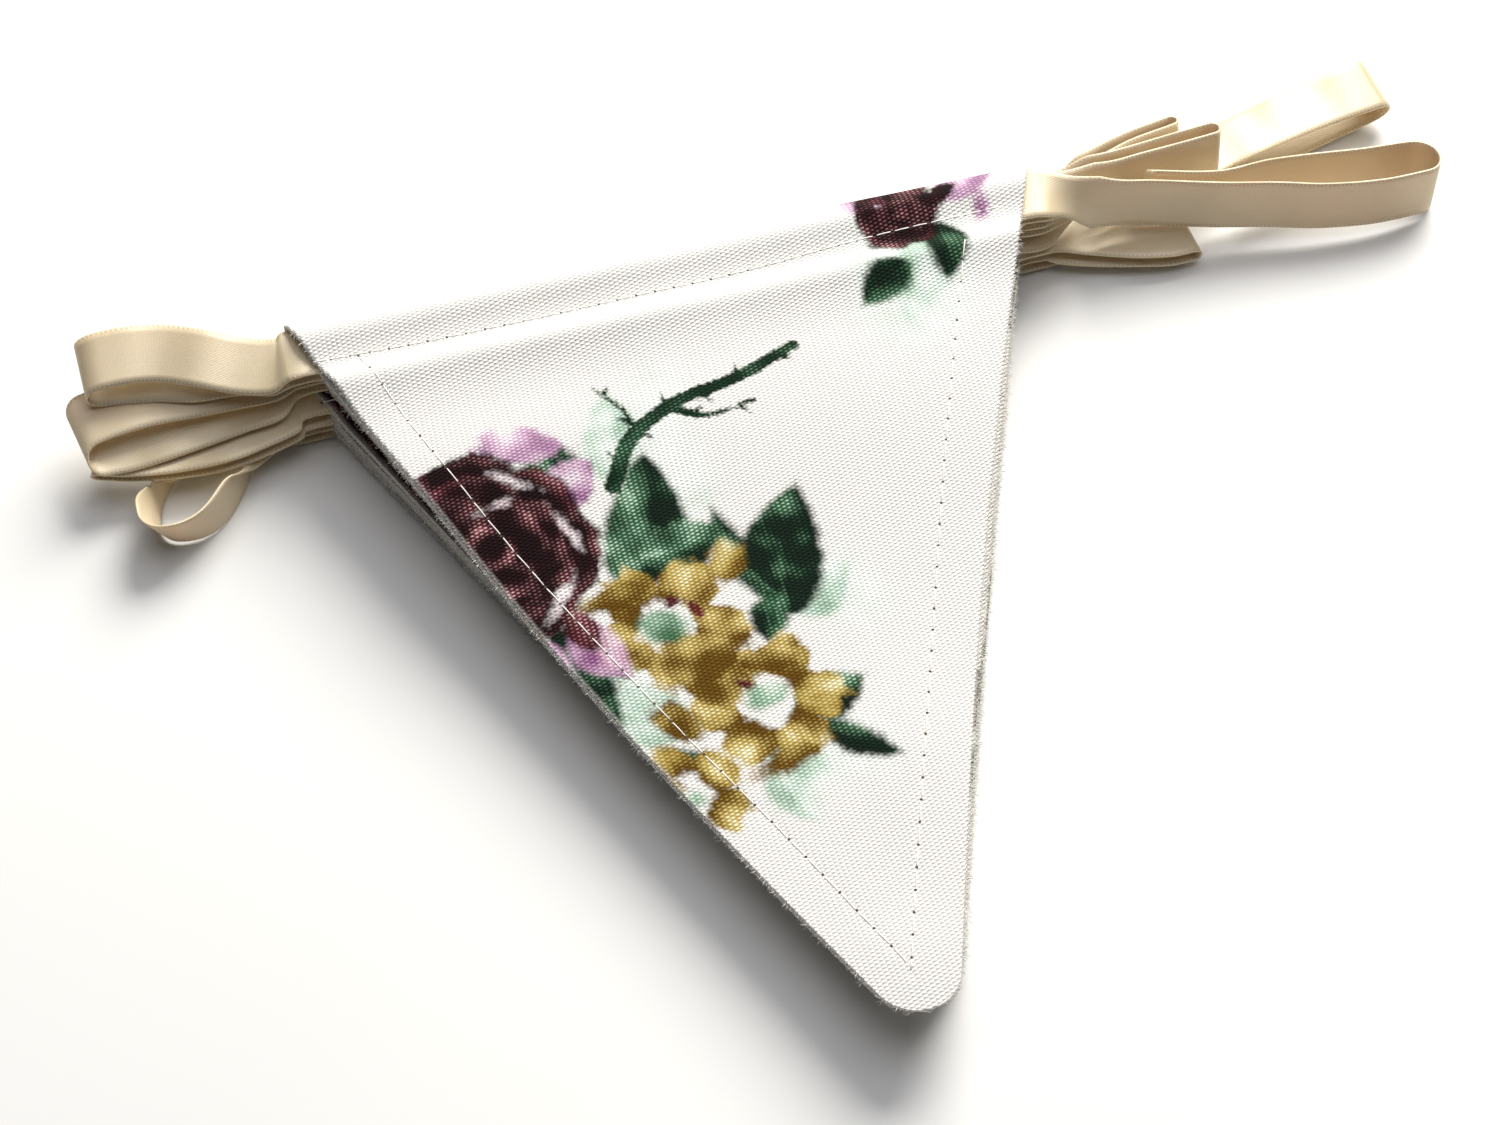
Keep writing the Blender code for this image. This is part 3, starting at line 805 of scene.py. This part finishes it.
def make_solid(piece: bpy.types.Object, thickness: float, rim: int = 0) -> None:
    """Give a sheet its thickness, half of it at each side."""
    wall = piece.modifiers.new("thickness", "SOLIDIFY")
    wall.thickness = thickness
    wall.offset = 0.0
    wall.use_even_offset = True
    wall.material_offset_rim = rim
    bpy.context.view_layer.objects.active = piece
    for other in bpy.context.selected_objects:
        other.select_set(False)
    piece.select_set(True)
    bpy.ops.object.modifier_apply(modifier=wall.name)


class FlagCloth:
    """One flag's canvas: a kite folded in half over the ribbon."""

    def __init__(self, surface: Surface, grid: Grid) -> None:
        self.surface = surface
        self.cut = surface.cut
        self.grid = grid

    def downs(self, pieces: int) -> list[float]:
        """Distances down a panel at which its mesh has a row, closer together at the rounded tip."""
        start, end = 0.0022, self.cut.length
        shares = [1.0 - (1.0 - step / pieces) ** 1.25 for step in range(pieces + 1)]
        return [start + (end - start) * share for share in shares]

    def rows(self) -> list[tuple[float, float, float]]:
        """Rows from the lower tip round the fold to the upper one: place down, share of height, flat place."""
        radius = (CASING_HEIGHT - CLOTH) / 2
        centre = radius + CLOTH / 2
        arc = math.pi * radius
        rows = [(down, 0.0, centre - arc / 2 - down) for down in reversed(self.downs(self.grid.lower))]
        for step in range(self.grid.fold + 1):
            part = step / self.grid.fold
            place = centre - radius * math.sin(math.pi * part)
            rows.append((place, 0.5 - 0.5 * math.cos(math.pi * part), arc * (part - 0.5)))
        rows += [(down, 1.0, down - centre + arc / 2) for down in self.downs(self.grid.upper)]
        return rows

    def build(self, material: bpy.types.Material, edge: bpy.types.Material) -> bpy.types.Object:
        """Build the cloth with its print."""
        points, flat = [], []
        for down, share, place in self.rows():
            half = max(self.cut.half_width(down), 0.00005)
            row, flat_row = [], []
            for column in range(self.grid.across + 1):
                aside = half * (2.0 * column / self.grid.across - 1.0)
                row.append(self.surface.middle(aside, down, share))
                flat_row.append((aside, place))
            points.append(row)
            flat.append(flat_row)
        mesh = sheet_mesh(self.cut.name, points, flat)
        places = np.array([place for row in flat for place in row])
        shift = SHIFTS[self.cut.level + 1]
        for coat, values in Print(shift).coats(places[:, 0] + self.cut.width / 2, places[:, 1]).items():
            layer = mesh.attributes.new(coat.value, "FLOAT_VECTOR", "POINT")
            layer.data.foreach_set("vector", values.astype(np.float32).ravel())
        self.store_edge_distance(mesh, places)
        piece = new_object("canvas_" + self.cut.name, mesh, material, edge)
        make_solid(piece, CLOTH, 1)
        return piece

    def store_edge_distance(self, mesh: bpy.types.Mesh, places: np.ndarray) -> None:
        """Store each point's distance from the raw edge and from the nearest seam, in millimetres."""
        halves = np.array([self.cut.half_width(abs(down)) for down in places[:, 1]])
        cosine = math.cos(math.atan(self.cut.width / 2 / self.cut.sides_meet))
        edge = (halves - np.abs(places[:, 0])) * cosine / MM
        seams = self.surface.seam_points[::6]
        nearest = np.full(len(places), 9.0)
        for seam in seams:
            far = np.hypot(places[:, 0] - seam[0], np.abs(places[:, 1]) - seam[1])
            nearest = np.minimum(nearest, far / MM)
        values = np.stack([edge, nearest, np.zeros_like(edge)], axis=1)
        layer = mesh.attributes.new("edges", "FLOAT_VECTOR", "POINT")
        layer.data.foreach_set("vector", values.astype(np.float32).ravel())


class RibbonStrip:
    """The satin ribbon's strip."""

    COLUMNS = 8

    def build(self, material: bpy.types.Material) -> tuple[bpy.types.Object, float]:
        """Build the strip, and give it with its length."""
        sections = Ribbon().sections()
        points, flat = [], []
        length = 0.0
        before = sections[0][0]
        for centre, width in sections:
            length += (centre - before).length
            before = centre
            shares = [2.0 * column / self.COLUMNS - 1.0 for column in range(self.COLUMNS + 1)]
            points.append([FOLD_START + centre + width * (share * RIBBON_WIDTH / 2) for share in shares])
            flat.append([(length, share * RIBBON_WIDTH / 2) for share in shares])
        piece = new_object("satin_ribbon", sheet_mesh("satin_ribbon", points, flat), material)
        make_solid(piece, RIBBON_THICKNESS)
        return piece, length


def add_tube(shape: bmesh.types.BMesh, points: list[Vector], radii: list[float], sides: int) -> None:
    """Add a closed tube along points."""
    rings = []
    for index, point in enumerate(points):
        along = points[min(index + 1, len(points) - 1)] - points[max(index - 1, 0)]
        side = along.cross(Vector((0.13, 0.21, 1.0))).normalized()
        above = along.cross(side).normalized()
        ring = []
        for corner in range(sides):
            angle = 2 * math.pi * corner / sides
            out = side * math.cos(angle) + above * math.sin(angle)
            ring.append(shape.verts.new(point + out * radii[index]))
        rings.append(ring)
    faces = [shape.faces.new(rings[0]), shape.faces.new(list(reversed(rings[-1])))]
    for ring, following in zip(rings, rings[1:]):
        for corner in range(sides):
            other = (corner + 1) % sides
            faces.append(shape.faces.new((ring[corner], following[corner], following[other], ring[other])))
    for face in faces:
        face.smooth = True


def finish_shape(name: str, shape: bmesh.types.BMesh, *materials: bpy.types.Material) -> bpy.types.Object:
    """Turn a shape into an object."""
    bmesh.ops.recalc_face_normals(shape, faces=shape.faces)
    mesh = bpy.data.meshes.new(name)
    shape.to_mesh(mesh)
    shape.free()
    return new_object(name, mesh, *materials)


class Sewing:
    """The lines of machine stitches on a flag."""

    def __init__(self, surface: Surface, rng: random.Random) -> None:
        self.surface = surface
        self.rng = rng

    def on_top(self, aside: float, down: float, lift: float) -> Vector:
        """Point above the upper panel's outer face."""
        return self.surface.middle(aside, down, 1.0) + Vector((0, 0, CLOTH / 2 + lift))

    def build(self, thread: bpy.types.Material, hole_shade: bpy.types.Material) -> bpy.types.Object:
        """Build every stitch, a thread that dips into a needle hole at both its ends."""
        shape = bmesh.new()
        for seam, stitch in zip(self.surface.seams, (TOP_STITCH, SIDE_STITCH, SIDE_STITCH)):
            line = np.array(seam)
            steps = np.hypot(*np.diff(line, axis=0).T)
            reach = np.concatenate([[0.0], np.cumsum(steps)])
            count = round(reach[-1] / stitch)
            for number in range(count):
                start = reach[-1] * number / count
                self.add_stitch(shape, line, reach, start, reach[-1] / count)
        return finish_shape("sewing_" + self.surface.cut.name, shape, thread, hole_shade)

    def add_stitch(
        self, shape: bmesh.types.BMesh, line: np.ndarray, reach: np.ndarray, start: float, long: float
    ) -> None:
        """Add one stitch and, where it comes out, a dark disc of painted shade for its needle hole.

        Args:
            shape: What it is added to.
            line: Points of the seam, each aside from the middle and down from the fold.
            reach: Distance along the seam at each point.
            start: Distance along the seam at which the stitch starts.
            long: Its length.
        """
        slant = self.rng.uniform(-STITCH_SLANT, STITCH_SLANT)
        points, radii = [], []
        for part, lift, size in STITCH_PROFILE:
            at = start + part * long
            aside = float(np.interp(at, reach, line[:, 0])) + slant * (part - 0.5) * 2
            down = float(np.interp(at, reach, line[:, 1])) + slant * (part - 0.5)
            points.append(self.on_top(aside, down, lift))
            radii.append(THREAD_RADIUS * size)
        add_tube(shape, points, radii, 6)
        aside = float(np.interp(start, reach, line[:, 0]))
        down = float(np.interp(start, reach, line[:, 1]))
        # A dark disc of painted shade stands for the needle hole.
        middle = self.on_top(aside, down, HOLE_LIFT)
        corners = []
        for corner in range(6):
            angle = math.pi * corner / 3
            out = Vector((math.cos(angle), math.sin(angle), 0))
            corners.append(shape.verts.new(middle + out * HOLE_RADIUS))
        top = shape.faces.new(corners)
        top.material_index = 1
        low = bmesh.ops.extrude_face_region(shape, geom=[top])
        moved = [part for part in low["geom"] if isinstance(part, bmesh.types.BMVert)]
        bmesh.ops.translate(shape, verts=moved, vec=(0, 0, -HOLE_DEPTH))
        for part in low["geom"]:
            if isinstance(part, bmesh.types.BMFace):
                part.material_index = 1


class Fringe:
    """The yarn ends that stand out along a flag's raw edges."""

    STEP = 0.00043

    def __init__(self, surface: Surface, rng: random.Random) -> None:
        self.surface = surface
        self.rng = rng

    def build(self, material: bpy.types.Material) -> bpy.types.Object:
        """Build the yarn ends of both panels at both sides."""
        shape = bmesh.new()
        cut = self.surface.cut
        for share in (0.0, 1.0):
            for hand in (-1.0, 1.0):
                down = 0.0030
                while down < cut.length - 0.0004:
                    self.add_yarn(shape, hand, down, share)
                    slope = max(cut.half_width(down) - cut.half_width(down + self.STEP), 0.0)
                    down += self.STEP * self.STEP / math.hypot(self.STEP, slope) * self.rng.uniform(0.7, 1.5)
        return finish_shape("fringe_" + cut.name, shape, material)

    def add_yarn(self, shape: bmesh.types.BMesh, hand: float, down: float, share: float) -> None:
        """Add one yarn end."""
        cut = self.surface.cut
        half = cut.half_width(down)
        slope = (cut.half_width(down + 0.0004) - cut.half_width(down - 0.0004)) / 0.0008
        out = Vector((hand, slope, 0.0)).normalized()
        root = self.surface.middle(hand * half, down, share)
        length = self.rng.choice((0.20, 0.28, 0.36, 0.36, 0.5, 0.85)) * MM * self.rng.uniform(0.7, 1.2)
        drift = Vector((self.rng.uniform(-0.5, 0.5), self.rng.uniform(-0.6, 0.6), 0.0))
        level = self.rng.uniform(-0.13, 0.13) * MM
        thick = self.rng.uniform(0.055, 0.10) * MM
        start = root - out * 0.3 * MM + Vector((0, 0, level))
        middle = root + out * length * 0.5 + Vector((0, 0, level * 1.1))
        end = root + (out + drift).normalized() * length + Vector((0, 0, level * self.rng.uniform(0.2, 1.6)))
        for point in (start, middle, end):
            point.z = max(point.z, thick + 0.00002)
        add_tube(shape, [start, middle, end], [thick, thick * 0.95, thick * 0.5], 4)


class Graph:
    """Adds nodes to a material with their settings and links."""

    def __init__(self, name: str) -> None:
        self.material = bpy.data.materials.new(name)
        self.material.use_nodes = True
        self.tree = self.material.node_tree
        self.shader = self.tree.nodes["Principled BSDF"]

    def add(self, kind: str, links: dict, **settings) -> bpy.types.Node:
        """Add one node.

        Args:
            kind: Type of the node.
            links: For each input, by name or number, a value or a socket to link from.
            settings: Properties of the node.

        Returns:
            The node.
        """
        node = self.tree.nodes.new(kind)
        for name, value in settings.items():
            setattr(node, name, value)
        for key, value in links.items():
            if isinstance(value, bpy.types.NodeSocket):
                self.tree.links.new(value, node.inputs[key])
            else:
                node.inputs[key].default_value = value
        return node

    def math(self, operation: str, *values) -> bpy.types.NodeSocket:
        """Add one sum of numbers or sockets."""
        links = dict(enumerate(values))
        return self.add("ShaderNodeMath", links, operation=operation).outputs[0]

    def ramp(
        self, value: bpy.types.NodeSocket, low: float, high: float, to_low: float = 0.0, to_high: float = 1.0
    ) -> bpy.types.NodeSocket:
        """Carry a value smoothly from one range to another."""
        links = {"Value": value, "From Min": low, "From Max": high, "To Min": to_low, "To Max": to_high}
        return self.add("ShaderNodeMapRange", links, interpolation_type="SMOOTHSTEP").outputs["Result"]

    def mix(self, share, first, second, blend: str = "MIX") -> bpy.types.NodeSocket:
        """Mix two colours."""
        links = {0: share, 6: first, 7: second}
        return self.add("ShaderNodeMix", links, data_type="RGBA", blend_type=blend).outputs[2]

    def noise(self, where, scale: float, detail: float = 2.0) -> bpy.types.NodeSocket:
        """Cloudy noise."""
        return self.add("ShaderNodeTexNoise", {"Vector": where, "Scale": scale, "Detail": detail}).outputs[0]

    def split(self, where) -> list[bpy.types.NodeSocket]:
        """Parts of a vector."""
        return list(self.add("ShaderNodeSeparateXYZ", {0: where}).outputs)

    def finish(self, links: dict) -> bpy.types.Material:
        """Link the shader's inputs."""
        for key, value in links.items():
            if isinstance(value, bpy.types.NodeSocket):
                self.tree.links.new(value, self.shader.inputs[key])
            else:
                self.shader.inputs[key].default_value = value
        return self.material


@dataclass(frozen=True)
class Pigment:
    """One coat's colours where it is thin, middling and thick, how much it hides and how soft its edge is."""

    thin: str
    middling: str
    thick: str
    cover: float
    edge: float


PIGMENTS = {
    Coat.WASH: Pigment("f0f3ee", "dde7de", "b9cfbd", 0.60, 3.5),
    Coat.PALE_LEAF: Pigment("dfe9df", "b0c8b5", "6f957b", 0.85, 1.3),
    Coat.LEAF: Pigment("9dbca2", "2f5c3c", "06190d", 1.0, 1.1),
    Coat.STEM: Pigment("88a88f", "244f33", "06200f", 1.0, 0.35),
    Coat.OCHRE: Pigment("ece6c0", "b39a4c", "573c04", 1.0, 0.9),
    Coat.CENTRE: Pigment("d3e0d1", "7ea586", "2f5f3f", 0.92, 1.0),
    Coat.PETAL: Pigment("ead8e3", "c397b7", "7f4a78", 0.88, 0.9),
    Coat.ROSE: Pigment("a86f75", "4e191f", "130103", 1.0, 0.7),
    Coat.LIGHT: Pigment("fbf6f5", "f1e4e6", "dcc3c9", 0.90, 0.7),
    Coat.ACCENT: Pigment("a5575d", "6c2026", "3a090d", 0.97, 0.4),
}
WARP_PITCH = 0.00081
WEFT_PITCH = 0.000326
# The satin's grain and floats, and the small loops along its woven edges, in metres.
GRAIN_ALONG = 0.00062
GRAIN_ACROSS = 0.00050
FLOAT_PITCH = 0.00042
SELVEDGE_AT = 0.00470
PICOT_PITCH = 0.00075


def canvas_material(printed: bool) -> bpy.types.Material:
    """Plain-weave cotton canvas with painted shade in the weave's gaps. Printed, it carries a flower print in
    pigment that is thinner on the yarn tops, partly bare canvas and partly a painted highlight, with painted shade
    along the seams; unprinted, for the cut edges, it is darkened all over as painted shade.
    """
    graph = Graph("printed_canvas" if printed else "raw_canvas_edge_painted_shade")
    place = graph.add("ShaderNodeUVMap", {}, uv_map="cloth").outputs[0]
    across, down, _ = graph.split(place)
    waver = graph.noise(place, 260.0, 1.0)
    waver = graph.math("MULTIPLY_ADD", waver, 0.9, -0.45)
    column = graph.math("MULTIPLY_ADD", across, math.pi / WARP_PITCH, waver)
    row = graph.math("MULTIPLY_ADD", down, math.pi / WEFT_PITCH, graph.math("MULTIPLY", waver, -1.3))
    checks = graph.math("MULTIPLY", graph.math("COSINE", column), graph.math("COSINE", row))
    ribs = graph.math("COSINE", graph.math("MULTIPLY", column, 2.0))
    lean = graph.math("MULTIPLY", graph.math("SINE", column), graph.math("SINE", row))
    weave = graph.math("MULTIPLY_ADD", ribs, 0.12, graph.math("MULTIPLY_ADD", checks, 0.36, 0.5))
    weave = graph.math("MULTIPLY_ADD", lean, -0.13, weave)
    fibres = graph.noise(place, 5200.0, 3.0)
    height = graph.math("MULTIPLY_ADD", fibres, 0.22, weave)
    # Painted shade: the canvas is darker in the weave's gaps and lighter on the yarn tops.
    tone = graph.ramp(height, 0.18, 0.92)
    uneven = graph.noise(place, 45.0, 3.0)
    ground = graph.mix(tone, linear("c6c3bb"), linear("faf8f4"))
    ground = graph.mix(graph.math("MULTIPLY", uneven, 0.10), ground, linear("d9d3c6"))
    colour = ground
    if printed:
        # Painted shade: the pigment is deeper in the weave's gaps.
        gap_painted_shade = graph.math("SUBTRACT", 0.60, height)
        # Pigment thinner on the yarn tops: partly bare canvas, partly a painted highlight.
        bare_and_highlight = graph.ramp(height, 0.60, 1.0, 0.0, 0.50)
        speckle = graph.math("MULTIPLY_ADD", graph.noise(place, 1400.0, 2.0), 1.1, -0.55)
        for coat in Coat:
            pigment = PIGMENTS[coat]
            layer = graph.add("ShaderNodeAttribute", {}, attribute_name=coat.value).outputs["Vector"]
            inside, density, _ = graph.split(layer)
            frayed = graph.math("ADD", inside, speckle)
            mask = graph.ramp(frayed, -pigment.edge, pigment.edge)
            depth = graph.math("MULTIPLY_ADD", gap_painted_shade, 0.55, graph.math("MULTIPLY_ADD", speckle, 0.12, density))
            shade = graph.mix(graph.ramp(depth, 0.0, 0.55), linear(pigment.thin), linear(pigment.middling))
            shade = graph.mix(graph.ramp(depth, 0.45, 1.1), shade, linear(pigment.thick))
            missed_and_highlight = graph.math("MULTIPLY", bare_and_highlight, graph.math("SUBTRACT", 1.0, density))
            share = graph.math("MULTIPLY", mask, graph.math("MULTIPLY_ADD", missed_and_highlight, -0.9, pigment.cover))
            colour = graph.mix(graph.math("MAXIMUM", share, 0.0), colour, shade)
        edges = graph.add("ShaderNodeAttribute", {}, attribute_name="edges").outputs["Vector"]
        edge, seam, _ = graph.split(edges)
        worn = graph.math("MULTIPLY", graph.ramp(edge, 0.9, 0.0), 0.35)
        colour = graph.mix(worn, colour, linear("dedad2"))
        # Painted shade along the seams, darkest at the stitch line.
        seam_painted_shade = graph.math("MULTIPLY", graph.ramp(seam, 1.0, 0.1), 0.03)
        colour = graph.mix(seam_painted_shade, colour, linear("8b857c"))
    else:
        # Painted shade: the cut edges are darkened all over.
        colour = graph.mix(0.25, colour, linear("b8b2a8"))
    bump = graph.add("ShaderNodeBump", {"Strength": 1.0, "Distance": 0.00022, "Height": height}).outputs[0]
    return graph.finish({
        "Base Color": colour, "Roughness": 0.95, "Normal": bump, "Sheen Weight": 0.04,
        "Sheen Roughness": 0.6, "Specular IOR Level": 0.08,
    })


def satin_material() -> bpy.types.Material:
    """Double-faced polyester satin, woven with long floats, a fine diagonal grain and loops at its edges."""
    graph = Graph("cream_satin")
    place = graph.add("ShaderNodeUVMap", {}, uv_map="cloth").outputs[0]
    along, across, _ = graph.split(place)
    weft = graph.math("SINE", graph.math("MULTIPLY", along, 2 * math.pi / FLOAT_PITCH))
    slant = graph.math("MULTIPLY", along, 2 * math.pi / GRAIN_ALONG)
    slant = graph.math("ADD", slant, graph.math("MULTIPLY", across, 2 * math.pi / GRAIN_ACROSS))
    grain = graph.math("SINE", slant)
    from_line = graph.math("SUBTRACT", graph.math("ABSOLUTE", across), SELVEDGE_AT)
    selvedge = graph.ramp(graph.math("ABSOLUTE", from_line), 0.00020, 0.00006)
    picot = graph.math("SINE", graph.math("MULTIPLY", along, 2 * math.pi / PICOT_PITCH))
    picot = graph.math("MULTIPLY", graph.ramp(picot, -0.4, 0.7), selvedge)
    gap_painted_shade = graph.math("SUBTRACT", selvedge, picot)
    stretched = {0: graph.math("MULTIPLY", along, 60.0), 1: graph.math("MULTIPLY", across, 5200.0), 2: 0.0}
    threads = graph.add("ShaderNodeCombineXYZ", stretched).outputs[0]
    floats = graph.noise(threads, 1.0, 2.0)
    tone = graph.math("MULTIPLY_ADD", floats, 0.30, graph.math("MULTIPLY_ADD", grain, 0.10, 0.35))
    colour = graph.mix(tone, linear("bda985"), linear("ddcfb1"))
    # Painted shade between the loops of the woven edges, and a painted highlight on the loops.
    colour = graph.mix(graph.math("MULTIPLY", gap_painted_shade, 0.28), colour, linear("8a7450"))
    colour = graph.mix(graph.math("MULTIPLY", picot, 0.45), colour, linear("efe4cb"))
    height = graph.math("MULTIPLY_ADD", weft, 0.10, graph.math("MULTIPLY", floats, 0.4))
    height = graph.math("MULTIPLY_ADD", grain, 0.45, height)
    height = graph.math("MULTIPLY_ADD", picot, 1.2, height)
    flattened = {0: along, 1: graph.math("MULTIPLY", across, 0.4), 2: 0.0}
    waves = graph.noise(graph.add("ShaderNodeCombineXYZ", flattened).outputs[0], 85.0, 0.0)
    swell = graph.add("ShaderNodeBump", {"Strength": 1.0, "Distance": 0.0030, "Height": waves}).outputs[0]
    relief = {"Strength": 0.4, "Distance": 0.00006, "Height": height, "Normal": swell}
    bump = graph.add("ShaderNodeBump", relief).outputs[0]
    tangent = graph.add("ShaderNodeTangent", {}, direction_type="UV_MAP", uv_map="cloth").outputs[0]
    return graph.finish({
        "Base Color": colour, "Roughness": 0.46, "Normal": bump, "Tangent": tangent, "Anisotropic": 0.75,
        "Anisotropic Rotation": 0.25, "IOR": 2.2, "Specular Tint": linear("fff7e6"),
        "Subsurface Weight": 0.35, "Subsurface Scale": 0.0008, "Subsurface Radius": (1.0, 0.70, 0.40),
    })


def plain_material(name: str, low: str, high: str, scale: float, roughness: float) -> bpy.types.Material:
    """Matt material with uneven colour and a fine bump, for thread, yarn ends, the painted shade of needle holes
    and the floor.
    """
    graph = Graph(name)
    place = graph.add("ShaderNodeTexCoord", {}).outputs["Object"]
    cloud = graph.noise(place, scale, 3.0)
    colour = graph.mix(cloud, linear(low), linear(high))
    bump = graph.add("ShaderNodeBump", {"Strength": 0.3, "Distance": 0.00003, "Height": cloud}).outputs[0]
    return graph.finish({
        "Base Color": colour, "Roughness": roughness, "Normal": bump, "Specular IOR Level": 0.2,
    })


@dataclass(frozen=True)
class Softbox:
    """One soft light of the studio."""

    name: str
    at: tuple[float, float, float]
    size: float
    power: float
    colour: str


SOFTBOXES = (
    Softbox("window", (0.46, 0.66, 0.70), 0.75, 20.0, "fffdf8"),
    Softbox("ceiling", (0.12, 0.16, 1.15), 1.30, 7.6, "f8f9ff"),
)
CAMERA_AZIMUTH = -16.103
CAMERA_ELEVATION = 54.211
CAMERA_FROM_FOLD = Vector((-0.020405, -0.348986, 0.424648))
FOCAL_LENGTH = 76.8
SENSOR_WIDTH = 36.0


class Studio:
    """Floor, lights, sky and camera."""

    def build(self) -> None:
        """Build it all."""
        self.build_floor()
        for box in SOFTBOXES:
            self.build_light(box)
        world = bpy.data.worlds.new("sky")
        world.use_nodes = True
        world.node_tree.nodes["Background"].inputs[0].default_value = linear("fbfbff")
        world.node_tree.nodes["Background"].inputs[1].default_value = 0.07
        bpy.context.scene.world = world
        bpy.context.scene.view_settings.view_transform = "Standard"
        bpy.context.scene.view_settings.look = "None"
        self.build_camera()

    def build_floor(self) -> None:
        """Build the pale floor."""
        shape = bmesh.new()
        bmesh.ops.create_grid(shape, x_segments=1, y_segments=1, size=2.5)
        bmesh.ops.translate(shape, verts=shape.verts, vec=(0, 0, -0.00004))
        floor = finish_shape("floor", shape, plain_material("white_table", "deddda", "e8e7e4", 6.0, 0.8))

    def build_light(self, box: Softbox) -> None:
        """Build one soft light, turned to the middle of the flags."""
        lamp = bpy.data.lights.new(box.name, "AREA")
        lamp.shape = "DISK"
        lamp.size = box.size
        lamp.energy = box.power
        lamp.color = linear(box.colour)[:3]
        made = bpy.data.objects.new(box.name, lamp)
        made.location = box.at
        made.rotation_euler = (Vector((0, 0, 0)) - Vector(box.at)).to_track_quat("-Z", "Y").to_euler()
        bpy.context.scene.collection.objects.link(made)

    def build_camera(self) -> None:
        """Build the camera at the photograph's angle."""
        azimuth, elevation = math.radians(CAMERA_AZIMUTH), math.radians(CAMERA_ELEVATION)
        flat = math.cos(elevation)
        back = Vector((math.sin(azimuth) * flat, -math.cos(azimuth) * flat, math.sin(elevation)))
        lens = bpy.data.cameras.new("camera")
        lens.lens = FOCAL_LENGTH
        lens.sensor_width = SENSOR_WIDTH
        lens.clip_start = 0.01
        made = bpy.data.objects.new("camera", lens)
        made.location = FOLD_START + CAMERA_FROM_FOLD
        made.rotation_euler = back.to_track_quat("Z", "Y").to_euler()
        bpy.context.scene.collection.objects.link(made)
        bpy.context.scene.camera = made


def dress_flags() -> None:
    """Make the cloth, sewing and yarn ends of every flag."""
    canvas = canvas_material(True)
    # Unprinted canvas for the cut edges, darkened all over as painted shade.
    edge = canvas_material(False)
    thread = plain_material("cotton_thread", "e8e2d6", "fbf8f1", 3000.0, 0.8)
    # Painted shade: the dark colour of the needle holes.
    hole_shade = plain_material("needle_hole_painted_shade", "3d3833", "5a534b", 3000.0, 0.95)
    yarn = plain_material("canvas_yarn_ends", "d6d1c8", "f3f0ea", 2500.0, 0.95)
    rng = random.Random(SEED)
    for cut in FLAGS:
        surface = Surface(cut)
        grid = PLAIN if not cut.top else FINE
        cloth = FlagCloth(surface, grid).build(canvas, edge)
        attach(cloth, "root")
        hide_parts(cut.name)
        sewing = Sewing(surface, rng).build(thread, hole_shade)
        fringe = Fringe(surface, rng).build(yarn)
        for piece in (sewing, fringe):
            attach(piece, "root")
        LOG.info("%s dressed", cut.name)


def dress_ribbon() -> None:
    """Make the satin ribbon."""
    ribbon, length = RibbonStrip().build(satin_material())
    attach(ribbon, "root")
    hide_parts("ribbon")
    LOG.info("ribbon of %.3f m dressed", length)


def main() -> None:
    """Build everything."""
    logging.basicConfig(level=logging.INFO)
    dress_flags()
    dress_ribbon()
    Studio().build()


if __name__ == "__main__":
    main()
